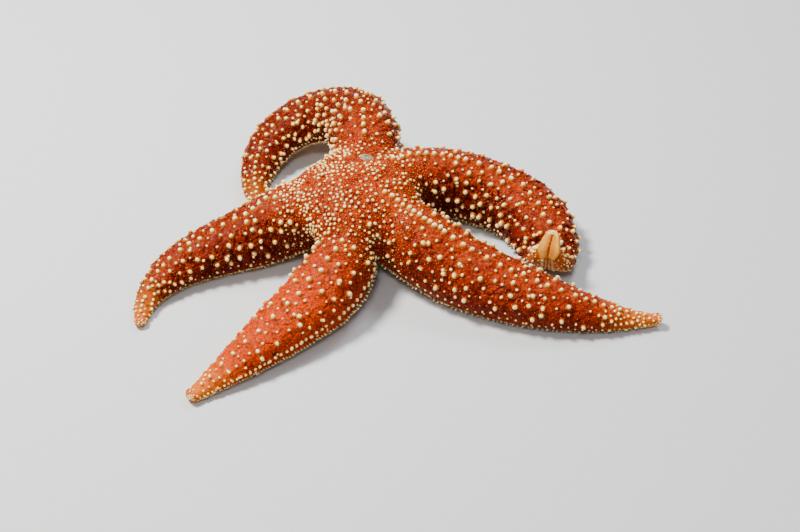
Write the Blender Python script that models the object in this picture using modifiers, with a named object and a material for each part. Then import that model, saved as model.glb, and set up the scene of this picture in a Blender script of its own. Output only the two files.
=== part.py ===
"""Mottled sea star at rest, life size: a small disc with five long tapering arms.

Metres, +Z up. The soles of the arms lie on the plane z = 0, and the origin is under the
middle of the model's bounding box. Each arm is swept along a chain of tangent arcs and
parted across into lengths; the disc is the fused middle where the five arms meet.
"""

import math

import bmesh
import bpy
import numpy as np
from mathutils import Matrix, Vector

NAME = "sea_star"
MM = 0.001

SEAM = 0.3 * MM  # clear gap between neighbouring pieces
STEP = 1.0 * MM  # spacing of the points that an arm's path is summed over
RING_SPACING = 6.0 * MM  # distance between the cross-sections of an arm
RING_TURN = 24  # degrees of curl that add one more cross-section

# The arms. Headings are compass turns in degrees from +X, evenly spaced along the length.
# "neck" is the width where the arm leaves the disc, as a share of its full width, and
# "swell" how far out it is widest. From the disc the sole slopes down to the floor at
# "landing", over a hump of height "arch". "curl" pairs shares of the length with the degrees
# that the arm is turned up there. "tip" is the width at the end, and "tip_height" the height
# there over that width.
ARMS = {
    "right_front": {
        "length": 151 * MM, "width": 37 * MM, "neck": 0.92, "swell": 0.38, "taper": 1.75,
        "headings": (-36, -38, -32, -26, -17, -6, 1), "cuts": (0.46, 0.74),
        "landing": 0.42, "arch": 0, "curl": ((0.86, 0), (1, 16)),
        "tip": 5.4 * MM, "tip_height": 0.62,
    },
    "right_back": {
        "length": 157 * MM, "width": 38 * MM, "neck": 0.88, "swell": 0.48, "taper": 2.5,
        "headings": (53, 32, 2, -30, -69, -103, -113), "cuts": (0.44, 0.72),
        "landing": 0.50, "arch": 0, "curl": ((0.76, 0), (0.85, 50), (0.92, 100), (0.96, 130)),
        "tip": 6.4 * MM, "tip_height": 0.50,
    },
    "back": {
        "length": 173 * MM, "width": 37 * MM, "neck": 0.88, "swell": 0.30, "taper": 1.6,
        "headings": (82, 84, 106, 174, 237, 276, 290), "cuts": (0.38, 0.58, 0.79),
        "landing": 0.80, "arch": 7 * MM, "curl": ((0, 0), (1, 0)),
        "tip": 5.0 * MM, "tip_height": 0.62,
    },
    "left": {
        "length": 124 * MM, "width": 35 * MM, "neck": 0.97, "swell": 0.32, "taper": 1.75,
        "headings": (183, 187, 197, 204, 216, 246, 276), "cuts": (0.50, 0.77),
        "landing": 0.42, "arch": 0, "curl": ((0.90, 0), (1, 8)),
        "tip": 5.4 * MM, "tip_height": 0.62,
    },
    "front": {
        "length": 128 * MM, "width": 35 * MM, "neck": 0.78, "swell": 0.40, "taper": 1.5,
        "headings": (259, 266, 238, 227, 226, 224, 222), "cuts": (0.50, 0.77),
        "landing": 0.42, "arch": 0, "curl": ((0.90, 0), (1, 8)),
        "tip": 7.4 * MM, "tip_height": 0.60,
    },
}

# Arm cross-section, as shares of the half-width and of the height.
WIDEST_AT = 0.36  # height of the widest point
FLANK_POWER = 0.88  # under 1 squares the flanks a little
SOLE_EDGE = 0.64  # outer edge of the flat strips that the arm rests on
GROOVE_EDGE = 0.27  # inner edge of those strips, the lip of the foot groove
GROOVE_DEPTH = 0.13
ARCH_STEPS = 10  # faces over the back of a section
FLANK_STEPS = 3  # faces from the widest point down to the sole, each side

# Height of a section over its width: near the disc and midway, at these shares of the length.
HEIGHT_AT_DISC, AT_DISC = 0.86, 0.2
HEIGHT_MIDWAY, MIDWAY = 0.67, 0.5
EYE_PLATE = 2.6 * MM  # length of the plate that ends each arm
EYE_PLATE_TURNS = (30, 55, 75)  # degrees round the plate's end at which it has cross-sections

DISC_REACH = 34 * MM  # distance along each arm at which the disc ends
ROOT_OVERLAP = 4 * MM  # how far the arms' roots run on past that, before they are cut back
ROOT_RINGS = 5
DISC_LIFT = 9 * MM  # how high the middle is held off the floor
DOME_RADIUS = 32 * MM
DOME_HEIGHT = 33 * MM
DISC_VOXEL = 1.8 * MM
DISC_RELAXING = 14
DISC_FACES = 2200
CUT_TOLERANCE = 0.0001 * MM

MADREPORITE_AT = (6 * MM, 16 * MM)  # from the middle of the disc
MADREPORITE_RADIUS = 3.6 * MM
MADREPORITE_THICK = 2.0 * MM
MADREPORITE_SINK = 1.2 * MM
MADREPORITE_ROUNDING = 0.6 * MM

MOUTH_RADIUS = 8.5 * MM
MOUTH_OPENING = 2.6 * MM
MOUTH_THICK = 3.0 * MM
SEAT_DEPTH = 8 * MM  # length of the cutters that sink the seats of the plate and the mouth
BUTTON_SIDES = 20
FAR_OFF = 200 * MM  # clear of the disc, where rays towards it start

COLOURS = {
    "skin": ((0.62, 0.12, 0.03), 0.35),
    "bone": ((0.80, 0.66, 0.42), 0.45),
    "sieve": ((0.42, 0.36, 0.28), 0.55),
}


def smooth(value):
    """0 to 1 with level ends."""
    value = np.clip(value, 0.0, 1.0)
    return value * value * (3 - 2 * value)


def curl_at(arm, share):
    """Degrees that an arm is turned up at a share of its length."""
    return np.interp(share, *zip(*arm["curl"]))


def arm_path(arm):
    """Points, tangents and leftward directions along the middle of an arm's sole."""
    count = int(round(arm["length"] / STEP)) + 1
    share = np.linspace(0, 1, count)
    headings = np.radians(np.interp(share, np.linspace(0, 1, len(arm["headings"])), arm["headings"]))
    down = np.minimum(share / arm["landing"], 1)
    lift = DISC_LIFT * (1 - smooth(down)) + arm["arch"] * np.sin(math.pi * down) ** 2
    fall = np.arcsin(np.gradient(lift, arm["length"] * share))
    curl = np.radians(curl_at(arm, share))
    pitch = fall + curl
    tangents = np.stack(
        [np.cos(pitch) * np.cos(headings), np.cos(pitch) * np.sin(headings), np.sin(pitch)], axis=1
    )
    left = np.stack([-np.sin(headings), np.cos(headings), np.zeros(count)], axis=1)
    strides = (tangents[1:] + tangents[:-1]) / 2 * (arm["length"] / (count - 1))
    points = np.concatenate([np.zeros((1, 3)), np.cumsum(strides, axis=0)])
    climb = np.concatenate([[0], np.cumsum(np.sin((curl[1:] + curl[:-1]) / 2))])
    points[:, 2] = lift + climb * arm["length"] / (count - 1)
    return points, tangents, left


def arm_width(arm, share):
    """Full width of an arm, from its neck out to the swell and down to the tip."""
    out = arm["neck"] + (1 - arm["neck"]) * smooth(share / arm["swell"])
    beyond = np.clip((share - arm["swell"]) / (1 - arm["swell"]), 0, 1)
    tip = arm["tip"] / arm["width"]
    return arm["width"] * min(out, tip + (1 - tip) * (1 - beyond ** arm["taper"]))


def arm_height(arm, share):
    ratios = (HEIGHT_AT_DISC, HEIGHT_MIDWAY, arm["tip_height"])
    return np.interp(share, (AT_DISC, MIDWAY, 1), ratios) * arm_width(arm, share)


def section_outline():
    """The closed outline of an arm: back, flanks, resting strips and foot groove."""
    outline = []
    for step in range(ARCH_STEPS + 1):
        turn = math.pi * step / ARCH_STEPS
        across = math.copysign(abs(math.cos(turn)) ** FLANK_POWER, math.cos(turn))
        outline.append((across, WIDEST_AT + (1 - WIDEST_AT) * math.sin(turn) ** FLANK_POWER))
    for side, steps in ((-1, range(1, FLANK_STEPS + 1)), (1, range(FLANK_STEPS, 0, -1))):
        if side > 0:
            outline.append((-GROOVE_EDGE, 0.0))
            for across in (-0.5, 0.0, 0.5):
                depth = GROOVE_DEPTH * (1 - across * across)
                outline.append((across * GROOVE_EDGE, depth))
            outline.append((GROOVE_EDGE, 0.0))
        for step in steps:
            turn = math.pi / 2 * step / FLANK_STEPS
            across = SOLE_EDGE + (1 - SOLE_EDGE) * math.cos(turn)
            outline.append((side * across, WIDEST_AT * (1 - math.sin(turn))))
    return outline


def ring(arm, path, distance, shift=0.0):
    """The cross-section at a distance along an arm, moved along the arm by a shift."""
    points, tangents, lefts = path
    along = np.linspace(0, arm["length"], len(points))
    centre, tangent, left = (
        np.array([np.interp(distance, along, values[:, axis]) for axis in range(3)])
        for values in (points, tangents, lefts)
    )
    tangent /= np.linalg.norm(tangent)
    left /= np.linalg.norm(left)
    up = np.cross(tangent, left)
    share = distance / arm["length"]
    half = arm_width(arm, share) / 2
    height = arm_height(arm, share)
    return [
        Vector(centre + tangent * shift - left * half * across + up * height * rise)
        for across, rise in section_outline()
    ]


def new_object(name, mesh, collection, material=None):
    obj = bpy.data.objects.new(name, mesh)
    collection.objects.link(obj)
    if material:
        mesh.materials.append(material)
    mesh.shade_smooth()
    return obj


def loft(rings):
    """A closed mesh through a row of rings of equal count, with flat ends."""
    bm = bmesh.new()
    rows = [[bm.verts.new(point) for point in points] for points in rings]
    for near, far in zip(rows, rows[1:]):
        for index in range(len(near)):
            after = (index + 1) % len(near)
            bm.faces.new((near[index], near[after], far[after], far[index]))
    bm.faces.new(reversed(rows[0]))
    bm.faces.new(rows[-1])
    bmesh.ops.recalc_face_normals(bm, faces=bm.faces)
    mesh = bpy.data.meshes.new("loft")
    bm.to_mesh(mesh)
    bm.free()
    return mesh


def arm_length(arm, path, start, end):
    """One length of an arm between two cuts, each face half a seam back from its cut."""
    distances = np.arange(start, end, STEP)
    measure = distances / RING_SPACING + curl_at(arm, distances / arm["length"]) / RING_TURN
    steps = max(2, round(measure[-1] - measure[0]))
    stops = np.linspace(measure[0], measure[-1], steps + 1)[1:-1]
    rings = [ring(arm, path, start, SEAM / 2)]
    rings += [ring(arm, path, distance) for distance in np.interp(stops, measure, distances)]
    rings.append(ring(arm, path, end, -SEAM / 2))
    return loft(rings)


def eye_plate(arm, path, start):
    """The rounded plate that closes an arm, with its flat face to the arm's last section."""
    rings = [ring(arm, path, start, SEAM / 2)]
    base = Vector(np.mean([tuple(point) for point in rings[0]], axis=0))
    ahead = Vector(np.array(path[1][-1]))
    for turn in EYE_PLATE_TURNS:
        swell = math.cos(math.radians(turn))
        push = ahead * (arm["length"] - start - SEAM) * math.sin(math.radians(turn))
        rings.append([base + (point - base) * swell + push for point in rings[0]])
    return loft(rings)


def evaluated_mesh(obj):
    graph = bpy.context.evaluated_depsgraph_get()
    return bpy.data.meshes.new_from_object(obj.evaluated_get(graph))


def add_boolean(obj, other, operation):
    modifier = obj.modifiers.new(other.name, "BOOLEAN")
    modifier.operation = operation
    modifier.object = other


def make_cutter(obj):
    obj.hide_render = True
    obj.display_type = "WIRE"


def make_dome(collection):
    """The raised middle that the roots of the arms run into."""
    mesh = bpy.data.meshes.new("dome")
    bm = bmesh.new()
    bmesh.ops.create_uvsphere(bm, u_segments=20, v_segments=10, radius=1.0)
    scale = Matrix.Diagonal((DOME_RADIUS, DOME_RADIUS, DOME_HEIGHT / 2, 1))
    place = Matrix.Translation((0, 0, DISC_LIFT + DOME_HEIGHT / 2))
    bmesh.ops.transform(bm, matrix=place @ scale, verts=bm.verts)
    bm.to_mesh(mesh)
    bm.free()
    return new_object("dome", mesh, collection)


def part_off(mesh, arm, path):
    """Cuts a mesh flat across one arm, half a seam short of the arm's first length."""
    points, tangents, _ = path
    index = int(round(DISC_REACH / STEP))
    normal = Vector(tangents[index])
    place = Vector(points[index]) - normal * SEAM / 2
    bm = bmesh.new()
    bm.from_mesh(mesh)
    geometry = bm.verts[:] + bm.edges[:] + bm.faces[:]
    cut = bmesh.ops.bisect_plane(
        bm, geom=geometry, dist=CUT_TOLERANCE, plane_co=place, plane_no=normal, clear_outer=True
    )
    edges = [item for item in cut["geom_cut"] if isinstance(item, bmesh.types.BMEdge)]
    bmesh.ops.contextual_create(bm, geom=edges)
    bm.to_mesh(mesh)
    bm.free()


def make_disc(collection, cutters, material, paths):
    """The fused middle: dome and arm roots in one soft body, parted from the five arms."""
    disc = make_dome(cutters)
    for name, arm in ARMS.items():
        distances = np.linspace(0, DISC_REACH + ROOT_OVERLAP, ROOT_RINGS + 1)[1:]
        rings = [ring(arm, paths[name], distance) for distance in distances]
        root = new_object(f"root_{name}", loft(rings), cutters)
        make_cutter(root)
        add_boolean(disc, root, "UNION")
    remesh = disc.modifiers.new("fuse", "REMESH")
    remesh.mode = "VOXEL"
    remesh.voxel_size = DISC_VOXEL
    relax = disc.modifiers.new("relax", "SMOOTH")
    relax.factor = 0.5
    relax.iterations = DISC_RELAXING
    thin = disc.modifiers.new("thin", "DECIMATE")
    thin.ratio = DISC_FACES / max(1, 2 * len(evaluated_mesh(disc).polygons))
    mesh = evaluated_mesh(disc)
    make_cutter(disc)
    for name, arm in ARMS.items():
        part_off(mesh, arm, paths[name])
    mesh.materials.clear()
    return new_object("disc", mesh, collection, material)


def surface_height(obj, across, back, from_above=True):
    """Height of an object's surface over or under a point."""
    graph = bpy.context.evaluated_depsgraph_get()
    start = Vector((across, back, FAR_OFF if from_above else -FAR_OFF))
    toward = Vector((0, 0, -1 if from_above else 1))
    return obj.evaluated_get(graph).ray_cast(start, toward)[1].z


def make_button(name, radius, depth, collection, material=None):
    """A short round peg with its base at its own origin."""
    mesh = bpy.data.meshes.new(name)
    bm = bmesh.new()
    bmesh.ops.create_cone(
        bm, cap_ends=True, segments=BUTTON_SIDES, radius1=radius, radius2=radius, depth=depth
    )
    bmesh.ops.translate(bm, verts=bm.verts, vec=(0, 0, depth / 2))
    bm.to_mesh(mesh)
    bm.free()
    return new_object(name, mesh, collection, material)


def seat(disc, name, radius, base, tilt, cutters):
    """Sinks a round seat into the disc, from a base point outwards along a tilt."""
    cutter = make_button(name, radius, SEAT_DEPTH, cutters)
    cutter.location = base
    cutter.rotation_euler = tilt
    make_cutter(cutter)
    add_boolean(disc, cutter, "DIFFERENCE")


def make_madreporite(disc, collection, cutters, material):
    """The sieve plate, a low button let into the disc's back."""
    across, back = MADREPORITE_AT
    reach = MADREPORITE_RADIUS
    top = surface_height(disc, across, back)
    rise_x = surface_height(disc, across + reach, back) - surface_height(disc, across - reach, back)
    rise_y = surface_height(disc, across, back + reach) - surface_height(disc, across, back - reach)
    tilt = (math.atan2(rise_y, 2 * reach), -math.atan2(rise_x, 2 * reach), 0)
    normal = Matrix.Rotation(tilt[1], 3, "Y") @ Matrix.Rotation(tilt[0], 3, "X") @ Vector((0, 0, 1))
    base = Vector((across, back, top)) - normal * MADREPORITE_SINK
    plate = make_button("madreporite", MADREPORITE_RADIUS, MADREPORITE_THICK, collection, material)
    plate.location = base + normal * SEAM
    plate.rotation_euler = tilt
    bevel = plate.modifiers.new("round", "BEVEL")
    bevel.width = MADREPORITE_ROUNDING
    bevel.segments = 2
    bevel.limit_method = "ANGLE"
    seat(disc, "madreporite_seat", MADREPORITE_RADIUS + SEAM, base, tilt, cutters)
    return plate


def make_mouth(disc, collection, cutters, material):
    """The ring of jaw plates round the mouth, let into the disc's underside."""
    under = surface_height(disc, 0, 0, from_above=False)
    frame = make_button("mouth_frame", MOUTH_RADIUS, MOUTH_THICK, collection, material)
    frame.location = (0, 0, under)
    mouth = make_button("mouth_opening", MOUTH_OPENING, 2 * MOUTH_THICK, cutters)
    mouth.location = (0, 0, under - MOUTH_THICK / 2)
    make_cutter(mouth)
    add_boolean(frame, mouth, "DIFFERENCE")
    base = (0, 0, under + MOUTH_THICK + SEAM - SEAT_DEPTH)
    seat(disc, "mouth_seat", MOUTH_RADIUS + SEAM, base, (0, 0, 0), cutters)
    return frame


def length_names(count):
    return {3: ("base", "middle", "tip"), 4: ("base", "bend", "middle", "tip")}[count]


def make_arm(name, arm, path, collection, materials):
    """The lengths of one arm, and the eye plate at its end."""
    end = arm["length"] - EYE_PLATE
    cuts = [DISC_REACH] + [share * arm["length"] for share in arm["cuts"]] + [end]
    pieces = []
    for word, near, far in zip(length_names(len(cuts) - 1), cuts, cuts[1:]):
        mesh = arm_length(arm, path, near, far)
        pieces.append(new_object(f"arm_{name}_{word}", mesh, collection, materials["skin"]))
    mesh = eye_plate(arm, path, end)
    pieces.append(new_object(f"eye_plate_{name}", mesh, collection, materials["bone"]))
    return pieces


def make_material(name, colour, roughness):
    material = bpy.data.materials.new(name)
    material.use_nodes = True
    shader = material.node_tree.nodes["Principled BSDF"]
    shader.inputs["Base Color"].default_value = (*colour, 1)
    shader.inputs["Roughness"].default_value = roughness
    shader.inputs["Metallic"].default_value = 0.0
    material.diffuse_color = (*colour, 1)
    return material


def centre_on_box(objects, rig):
    """Moves the whole model so that the origin is under the middle of its box."""
    graph = bpy.context.evaluated_depsgraph_get()
    corners = []
    for obj in objects:
        shape = obj.evaluated_get(graph)
        corners += [shape.matrix_world @ vertex.co for vertex in shape.data.vertices]
    low = [min(corner[axis] for corner in corners) for axis in range(3)]
    high = [max(corner[axis] for corner in corners) for axis in range(3)]
    rig.location = (-(low[0] + high[0]) / 2, -(low[1] + high[1]) / 2, -low[2])


def main():
    for obj in list(bpy.data.objects):
        bpy.data.objects.remove(obj)
    collection = bpy.data.collections.new(NAME)
    cutters = bpy.data.collections.new("cutters")
    for each in (collection, cutters):
        bpy.context.scene.collection.children.link(each)
    materials = {name: make_material(name, *look) for name, look in COLOURS.items()}
    paths = {name: arm_path(arm) for name, arm in ARMS.items()}

    disc = make_disc(collection, cutters, materials["skin"], paths)
    pieces = [disc]
    pieces.append(make_madreporite(disc, collection, cutters, materials["sieve"]))
    pieces.append(make_mouth(disc, collection, cutters, materials["bone"]))
    for name, arm in ARMS.items():
        pieces += make_arm(name, arm, paths[name], collection, materials)

    rig = bpy.data.objects.new("rig", None)
    collection.objects.link(rig)
    for obj in pieces + list(cutters.objects):
        obj.parent = rig
    bpy.context.view_layer.update()
    centre_on_box(pieces, rig)
    bpy.context.view_layer.update()


main()
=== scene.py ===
import math

import bpy
import numpy as np
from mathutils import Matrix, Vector, noise
from mathutils.bvhtree import BVHTree
from mathutils.kdtree import KDTree


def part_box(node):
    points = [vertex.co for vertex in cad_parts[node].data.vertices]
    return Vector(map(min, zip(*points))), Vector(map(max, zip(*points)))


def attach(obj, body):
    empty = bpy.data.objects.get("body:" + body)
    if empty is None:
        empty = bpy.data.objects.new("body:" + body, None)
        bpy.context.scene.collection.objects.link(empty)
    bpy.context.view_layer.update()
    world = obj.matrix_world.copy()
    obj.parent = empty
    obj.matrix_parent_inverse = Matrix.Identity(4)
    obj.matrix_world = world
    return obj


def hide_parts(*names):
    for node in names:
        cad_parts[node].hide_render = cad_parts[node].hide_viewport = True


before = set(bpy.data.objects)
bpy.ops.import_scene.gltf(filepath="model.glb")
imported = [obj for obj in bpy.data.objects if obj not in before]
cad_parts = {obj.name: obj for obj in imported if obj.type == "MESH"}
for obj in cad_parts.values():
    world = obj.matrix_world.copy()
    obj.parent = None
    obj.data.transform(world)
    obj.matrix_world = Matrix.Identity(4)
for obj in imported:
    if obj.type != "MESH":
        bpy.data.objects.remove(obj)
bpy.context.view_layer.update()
print("frame loaded")

mm = 0.001
floorGap = 0.05 * mm  # nothing reaches lower

# The disc's middle stands over the middle of the mouth.
mouthLow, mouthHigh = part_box("mouth_frame")
discCentre = np.array([(mouthLow.x + mouthHigh.x) / 2, (mouthLow.y + mouthHigh.y) / 2, 0])

# Headings turn from +X in degrees and are evenly spaced along each arm. "neck" is the width at the
# disc as a share of the full width, and "swell" how far out the arm is widest. "curl" pairs shares
# of the length with the degrees that the arm is turned up there.
arms = {
    "right_front": {
        "length": 151 * mm, "width": 37 * mm, "neck": 0.92, "swell": 0.38, "taper": 1.75,
        "headings": (-36, -38, -32, -26, -17, -6, 1), "tip": 5.4 * mm, "tipHeight": 0.62,
        "landing": 0.42, "arch": 0, "curl": ((0.86, 0), (1, 16)),
    },
    "right_back": {
        "length": 157 * mm, "width": 38 * mm, "neck": 0.88, "swell": 0.48, "taper": 2.5,
        "headings": (53, 32, 2, -30, -69, -103, -113), "tip": 6.4 * mm, "tipHeight": 0.50,
        "landing": 0.50, "arch": 0, "curl": ((0.76, 0), (0.85, 50), (0.92, 100), (0.96, 130)),
    },
    "back": {
        "length": 173 * mm, "width": 37 * mm, "neck": 0.88, "swell": 0.30, "taper": 1.6,
        "headings": (82, 84, 106, 174, 237, 276, 290), "tip": 5.0 * mm, "tipHeight": 0.62,
        "landing": 0.80, "arch": 7 * mm, "curl": ((0, 0), (1, 0)),
    },
    "left": {
        "length": 124 * mm, "width": 35 * mm, "neck": 0.97, "swell": 0.32, "taper": 1.75,
        "headings": (183, 187, 197, 204, 216, 246, 276), "tip": 5.4 * mm, "tipHeight": 0.62,
        "landing": 0.42, "arch": 0, "curl": ((0.90, 0), (1, 8)),
    },
    "front": {
        "length": 128 * mm, "width": 35 * mm, "neck": 0.78, "swell": 0.40, "taper": 1.5,
        "headings": (259, 266, 238, 227, 226, 224, 222), "tip": 7.4 * mm, "tipHeight": 0.60,
        "landing": 0.42, "arch": 0, "curl": ((0.90, 0), (1, 8)),
    },
}

body = {
    "pathStep": 1 * mm,
    "discLift": 9 * mm,  # the middle is held this far off the floor
    "domeRadius": 32 * mm,
    "domeHeight": 33 * mm,
    "heightAtDisc": 0.86,  # height of a section over its width
    "heightMidway": 0.67,
    "eyePlate": 2.6 * mm,  # length of the plate that ends each arm
    "widestAt": 0.36,  # height of a section's widest point, as a share of its height
    "squareness": 0.88,
    "soleEdge": 0.64,  # outer and inner edge of the strips that the arm rests on
    "grooveEdge": 0.27,
    "grooveDepth": 0.24,  # share of a section's height
    "grooveCloses": (0.72, 0.80),  # shares of the length
    "grooveJoins": 30 * mm,
    "firstGroove": -36,
}


def smooth(value):
    value = np.clip(value, 0, 1)
    return value * value * (3 - 2 * value)


# From 0 at a start to 1 a width further on.
def ramp(value, start, width):
    return smooth((value - start) / width)


def fullTurn(count):
    return np.linspace(0, 2 * math.pi, count, endpoint=False)


def unit(vectors):
    return vectors / np.maximum(np.linalg.norm(vectors, axis=-1, keepdims=True), 1e-12)


class Arm:
    def __init__(self, name, index, shape):
        self.name, self.index, self.shape, self.length = name, index, shape, shape["length"]
        count = int(round(self.length / body["pathStep"])) + 1
        share = np.linspace(0, 1, count)
        self.along = share * self.length
        turns = np.interp(share, np.linspace(0, 1, len(shape["headings"])), shape["headings"])
        turns = np.radians(turns)
        down = np.minimum(share / shape["landing"], 1)
        lift = body["discLift"] * (1 - smooth(down)) + shape["arch"] * np.sin(math.pi * down) ** 2
        fall = np.arcsin(np.gradient(lift, self.along))
        curl = np.radians(np.interp(share, *zip(*shape["curl"])))
        pitch = fall + curl
        flat = np.stack([np.cos(turns), np.sin(turns), 0 * turns], 1)
        forward = flat * np.cos(pitch)[:, None] + np.array([0, 0, 1]) * np.sin(pitch)[:, None]
        left = np.stack([-np.sin(turns), np.cos(turns), 0 * turns], 1)
        step = self.length / (count - 1)
        self.soles = np.zeros((count, 3))
        self.soles[1:] = np.cumsum((forward[1:] + forward[:-1]) / 2 * step, 0)
        self.soles[1:, 2] = np.cumsum(np.sin((curl[1:] + curl[:-1]) / 2)) * step
        self.soles[:, 2] += lift
        self.soles += discCentre
        self.forward, self.right, self.up = forward, -left, np.cross(forward, left)
        # The foot grooves leave the mouth evenly spaced, and join their arms further out.
        evenTurn = math.radians(body["firstGroove"] + 360 / len(arms) * index)
        self.drift = math.sin(turns[0] - evenTurn)

    def sample(self, values, distance):
        return np.stack([np.interp(distance, self.along, values[:, axis]) for axis in range(3)], -1)

    def half(self, distance):
        shape, share = self.shape, distance / self.length
        out = shape["neck"] + (1 - shape["neck"]) * smooth(share / shape["swell"])
        beyond = np.clip((share - shape["swell"]) / (1 - shape["swell"]), 0, 1)
        tip = shape["tip"] / shape["width"]
        return shape["width"] / 2 * np.minimum(out, tip + (1 - tip) * (1 - beyond ** shape["taper"]))

    def height(self, distance):
        ratios = (body["heightAtDisc"], body["heightMidway"], self.shape["tipHeight"])
        return np.interp(distance / self.length, (0.2, 0.5, 1), ratios) * 2 * self.half(distance)

    # How far the foot groove runs to the right of the middle of the sole.
    def shift(self, distance):
        return distance * self.drift * (1 - smooth(distance / body["grooveJoins"]))

    # Depth of the foot groove, which closes towards the tip.
    def groove(self, distance):
        start, end = body["grooveCloses"]
        openness = 1 - ramp(distance / self.length, start, end - start)
        return (0.03 + 0.97 * openness) * body["grooveDepth"] * self.height(distance)

    # A place in metres: along the arm, to its right and above its sole.
    def point(self, distance, across, rise):
        right = unit(self.sample(self.right, distance)) * np.asarray(across)[..., None]
        up = unit(self.sample(self.up, distance)) * np.asarray(rise)[..., None]
        return self.sample(self.soles, distance) + right + up


starArms = [Arm(name, index, shape) for index, (name, shape) in enumerate(arms.items())]


# A value of the arm that each place is on.
def perArm(places, value):
    return np.array([value(arm) for arm in starArms])[places["arm"]]


def shareAlong(places):
    return places["along"] / perArm(places, lambda arm: arm.length)


def halfWidths(places):
    return np.select([places["arm"] == arm.index for arm in starArms],
                     [arm.half(places["along"]) for arm in starArms])


def meshFrom(name, points, faceGroups):
    mesh = bpy.data.meshes.new(name)
    corners = np.concatenate([faces.ravel() for faces in faceGroups])
    sizes = np.concatenate([np.full(len(faces), faces.shape[1]) for faces in faceGroups])
    mesh.vertices.add(len(points))
    mesh.vertices.foreach_set("co", np.asarray(points, float).ravel())
    mesh.loops.add(len(corners))
    mesh.loops.foreach_set("vertex_index", corners.astype(np.int32))
    mesh.polygons.add(len(sizes))
    mesh.polygons.foreach_set("loop_start", (np.cumsum(sizes) - sizes).astype(np.int32))
    mesh.update(calc_edges=True)
    mesh.shade_smooth()
    return mesh


def newObject(name, data):
    thing = bpy.data.objects.new(name, data)
    bpy.context.scene.collection.objects.link(thing)
    return thing


def newPiece(name, mesh, finish):
    piece = newObject(name, mesh)
    mesh.materials.clear()
    mesh.materials.append(finish)
    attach(piece, "root")
    return piece


def setFields(mesh, fields):
    for name, values in fields.items():
        field = mesh.attributes.new(name, "FLOAT", "POINT")
        field.data.foreach_set("value", np.asarray(values, np.float32))


def numbersOf(items, name, width, kind=float):
    values = np.empty(len(items) * width, kind)
    items.foreach_get(name, values)
    return values.reshape(-1, width)


# Quads between rows of points, each row a closed loop.
def tubeQuads(rowCount, loopCount, first=0):
    row = np.arange(rowCount - 1)[:, None] * loopCount
    here = np.arange(loopCount)[None]
    after = (here + 1) % loopCount
    quads = np.stack([row + here, row + after, row + loopCount + after, row + loopCount + here], -1)
    return quads.reshape(-1, 4) + first


# Closes a loop of points with a fan round one more point.
def capFan(loopStart, loopCount, tip, flip=False):
    here = np.arange(loopCount)
    after = (here + 1) % loopCount
    fan = np.stack([loopStart + here, loopStart + after, np.full(loopCount, tip)], -1)
    return fan[:, ::-1] if flip else fan


# Closes the first and the last loop of a tube on two points that follow its own.
def endCaps(rowCount, loopCount):
    first = rowCount * loopCount
    return np.concatenate([capFan(0, loopCount, first, True),
                           capFan(first - loopCount, loopCount, first + 1)])


# The skin.

skinShape = {
    "coat": 1.7 * mm,  # the spines stand this far above the skin
    "soleGap": 1.0 * mm,
    "ringGap": 1.5 * mm,
    "voxel": 0.85 * mm,
    "mouthGroove": 0.17,  # half-width of the foot grooves where they reach the mouth
    "mouthReach": 24 * mm, "mouthBelow": 20 * mm,
    "softRadius": (24 * mm, 44 * mm),  # the arm roots melt together inside, and not outside
    "softHeight": (12 * mm, 6 * mm),  # softening starts this high, and is full that much higher
    "softWeight": 0.6, "softRounds": 60,
    "evenWeight": 0.4, "evenRounds": 3,
    "seed": 11,
}
rng = np.random.default_rng(skinShape["seed"])


archPoints = 45  # of a cross-section, over the back


# A cross-section without its groove: across and rise as shares of half-width and height.
def skinOutline():
    arch = np.linspace(0, math.pi, archPoints)
    across = np.sign(np.cos(arch)) * np.abs(np.cos(arch)) ** body["squareness"]
    rise = body["widestAt"] + (1 - body["widestAt"]) * np.sin(arch) ** body["squareness"]
    flank = np.linspace(0, math.pi / 2, 9)[1:]
    sideAcross = body["soleEdge"] + (1 - body["soleEdge"]) * np.cos(flank)
    sideRise = body["widestAt"] * (1 - np.sin(flank))
    strip = np.linspace(body["soleEdge"], body["grooveEdge"], 5)[1:]
    groove = np.linspace(-1, 1, 15)[1:-1]
    across = np.concatenate([across, -sideAcross, -strip, groove * body["grooveEdge"],
                             strip[::-1], sideAcross[::-1]])
    rise = np.concatenate([rise, sideRise, 0 * strip, 0 * groove, 0 * strip, sideRise[::-1]])
    return across, rise


# The vault of the foot groove at a share of its half-width.
def vault(share):
    return np.clip(1 - share ** 4, 0, 1) ** 0.6


def coatDepth(arm, distance):
    return np.minimum(skinShape["coat"], 0.27 * arm.half(distance))


def armTube(arm):
    across, rise = skinOutline()
    onSole = rise == 0
    inside = body["soleEdge"] - np.abs(across)
    carried = np.clip(inside / (body["soleEdge"] - body["grooveEdge"]), 0, 1)
    groove = vault(np.clip(across / body["grooveEdge"], -1, 1)) * onSole
    end = arm.length - body["eyePlate"] * 0.6
    count = int(end / skinShape["ringGap"])
    rows = []
    for distance in np.linspace(3 * mm, end, count):
        coat = coatDepth(arm, distance)
        gap = min(skinShape["soleGap"], coat)
        half = arm.half(distance) - coat
        height = arm.height(distance) - coat - gap
        sideways = across * half + arm.shift(distance) * carried * onSole
        upward = gap + rise * height + groove * arm.groove(distance)
        rows.append(arm.point(np.full(len(across), distance), sideways, upward))
    rows = np.array(rows)
    points = np.concatenate([rows.reshape(-1, 3), rows[[0, -1]].mean(1)])
    return points, tubeQuads(count, len(across)), endCaps(count, len(across))


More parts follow.
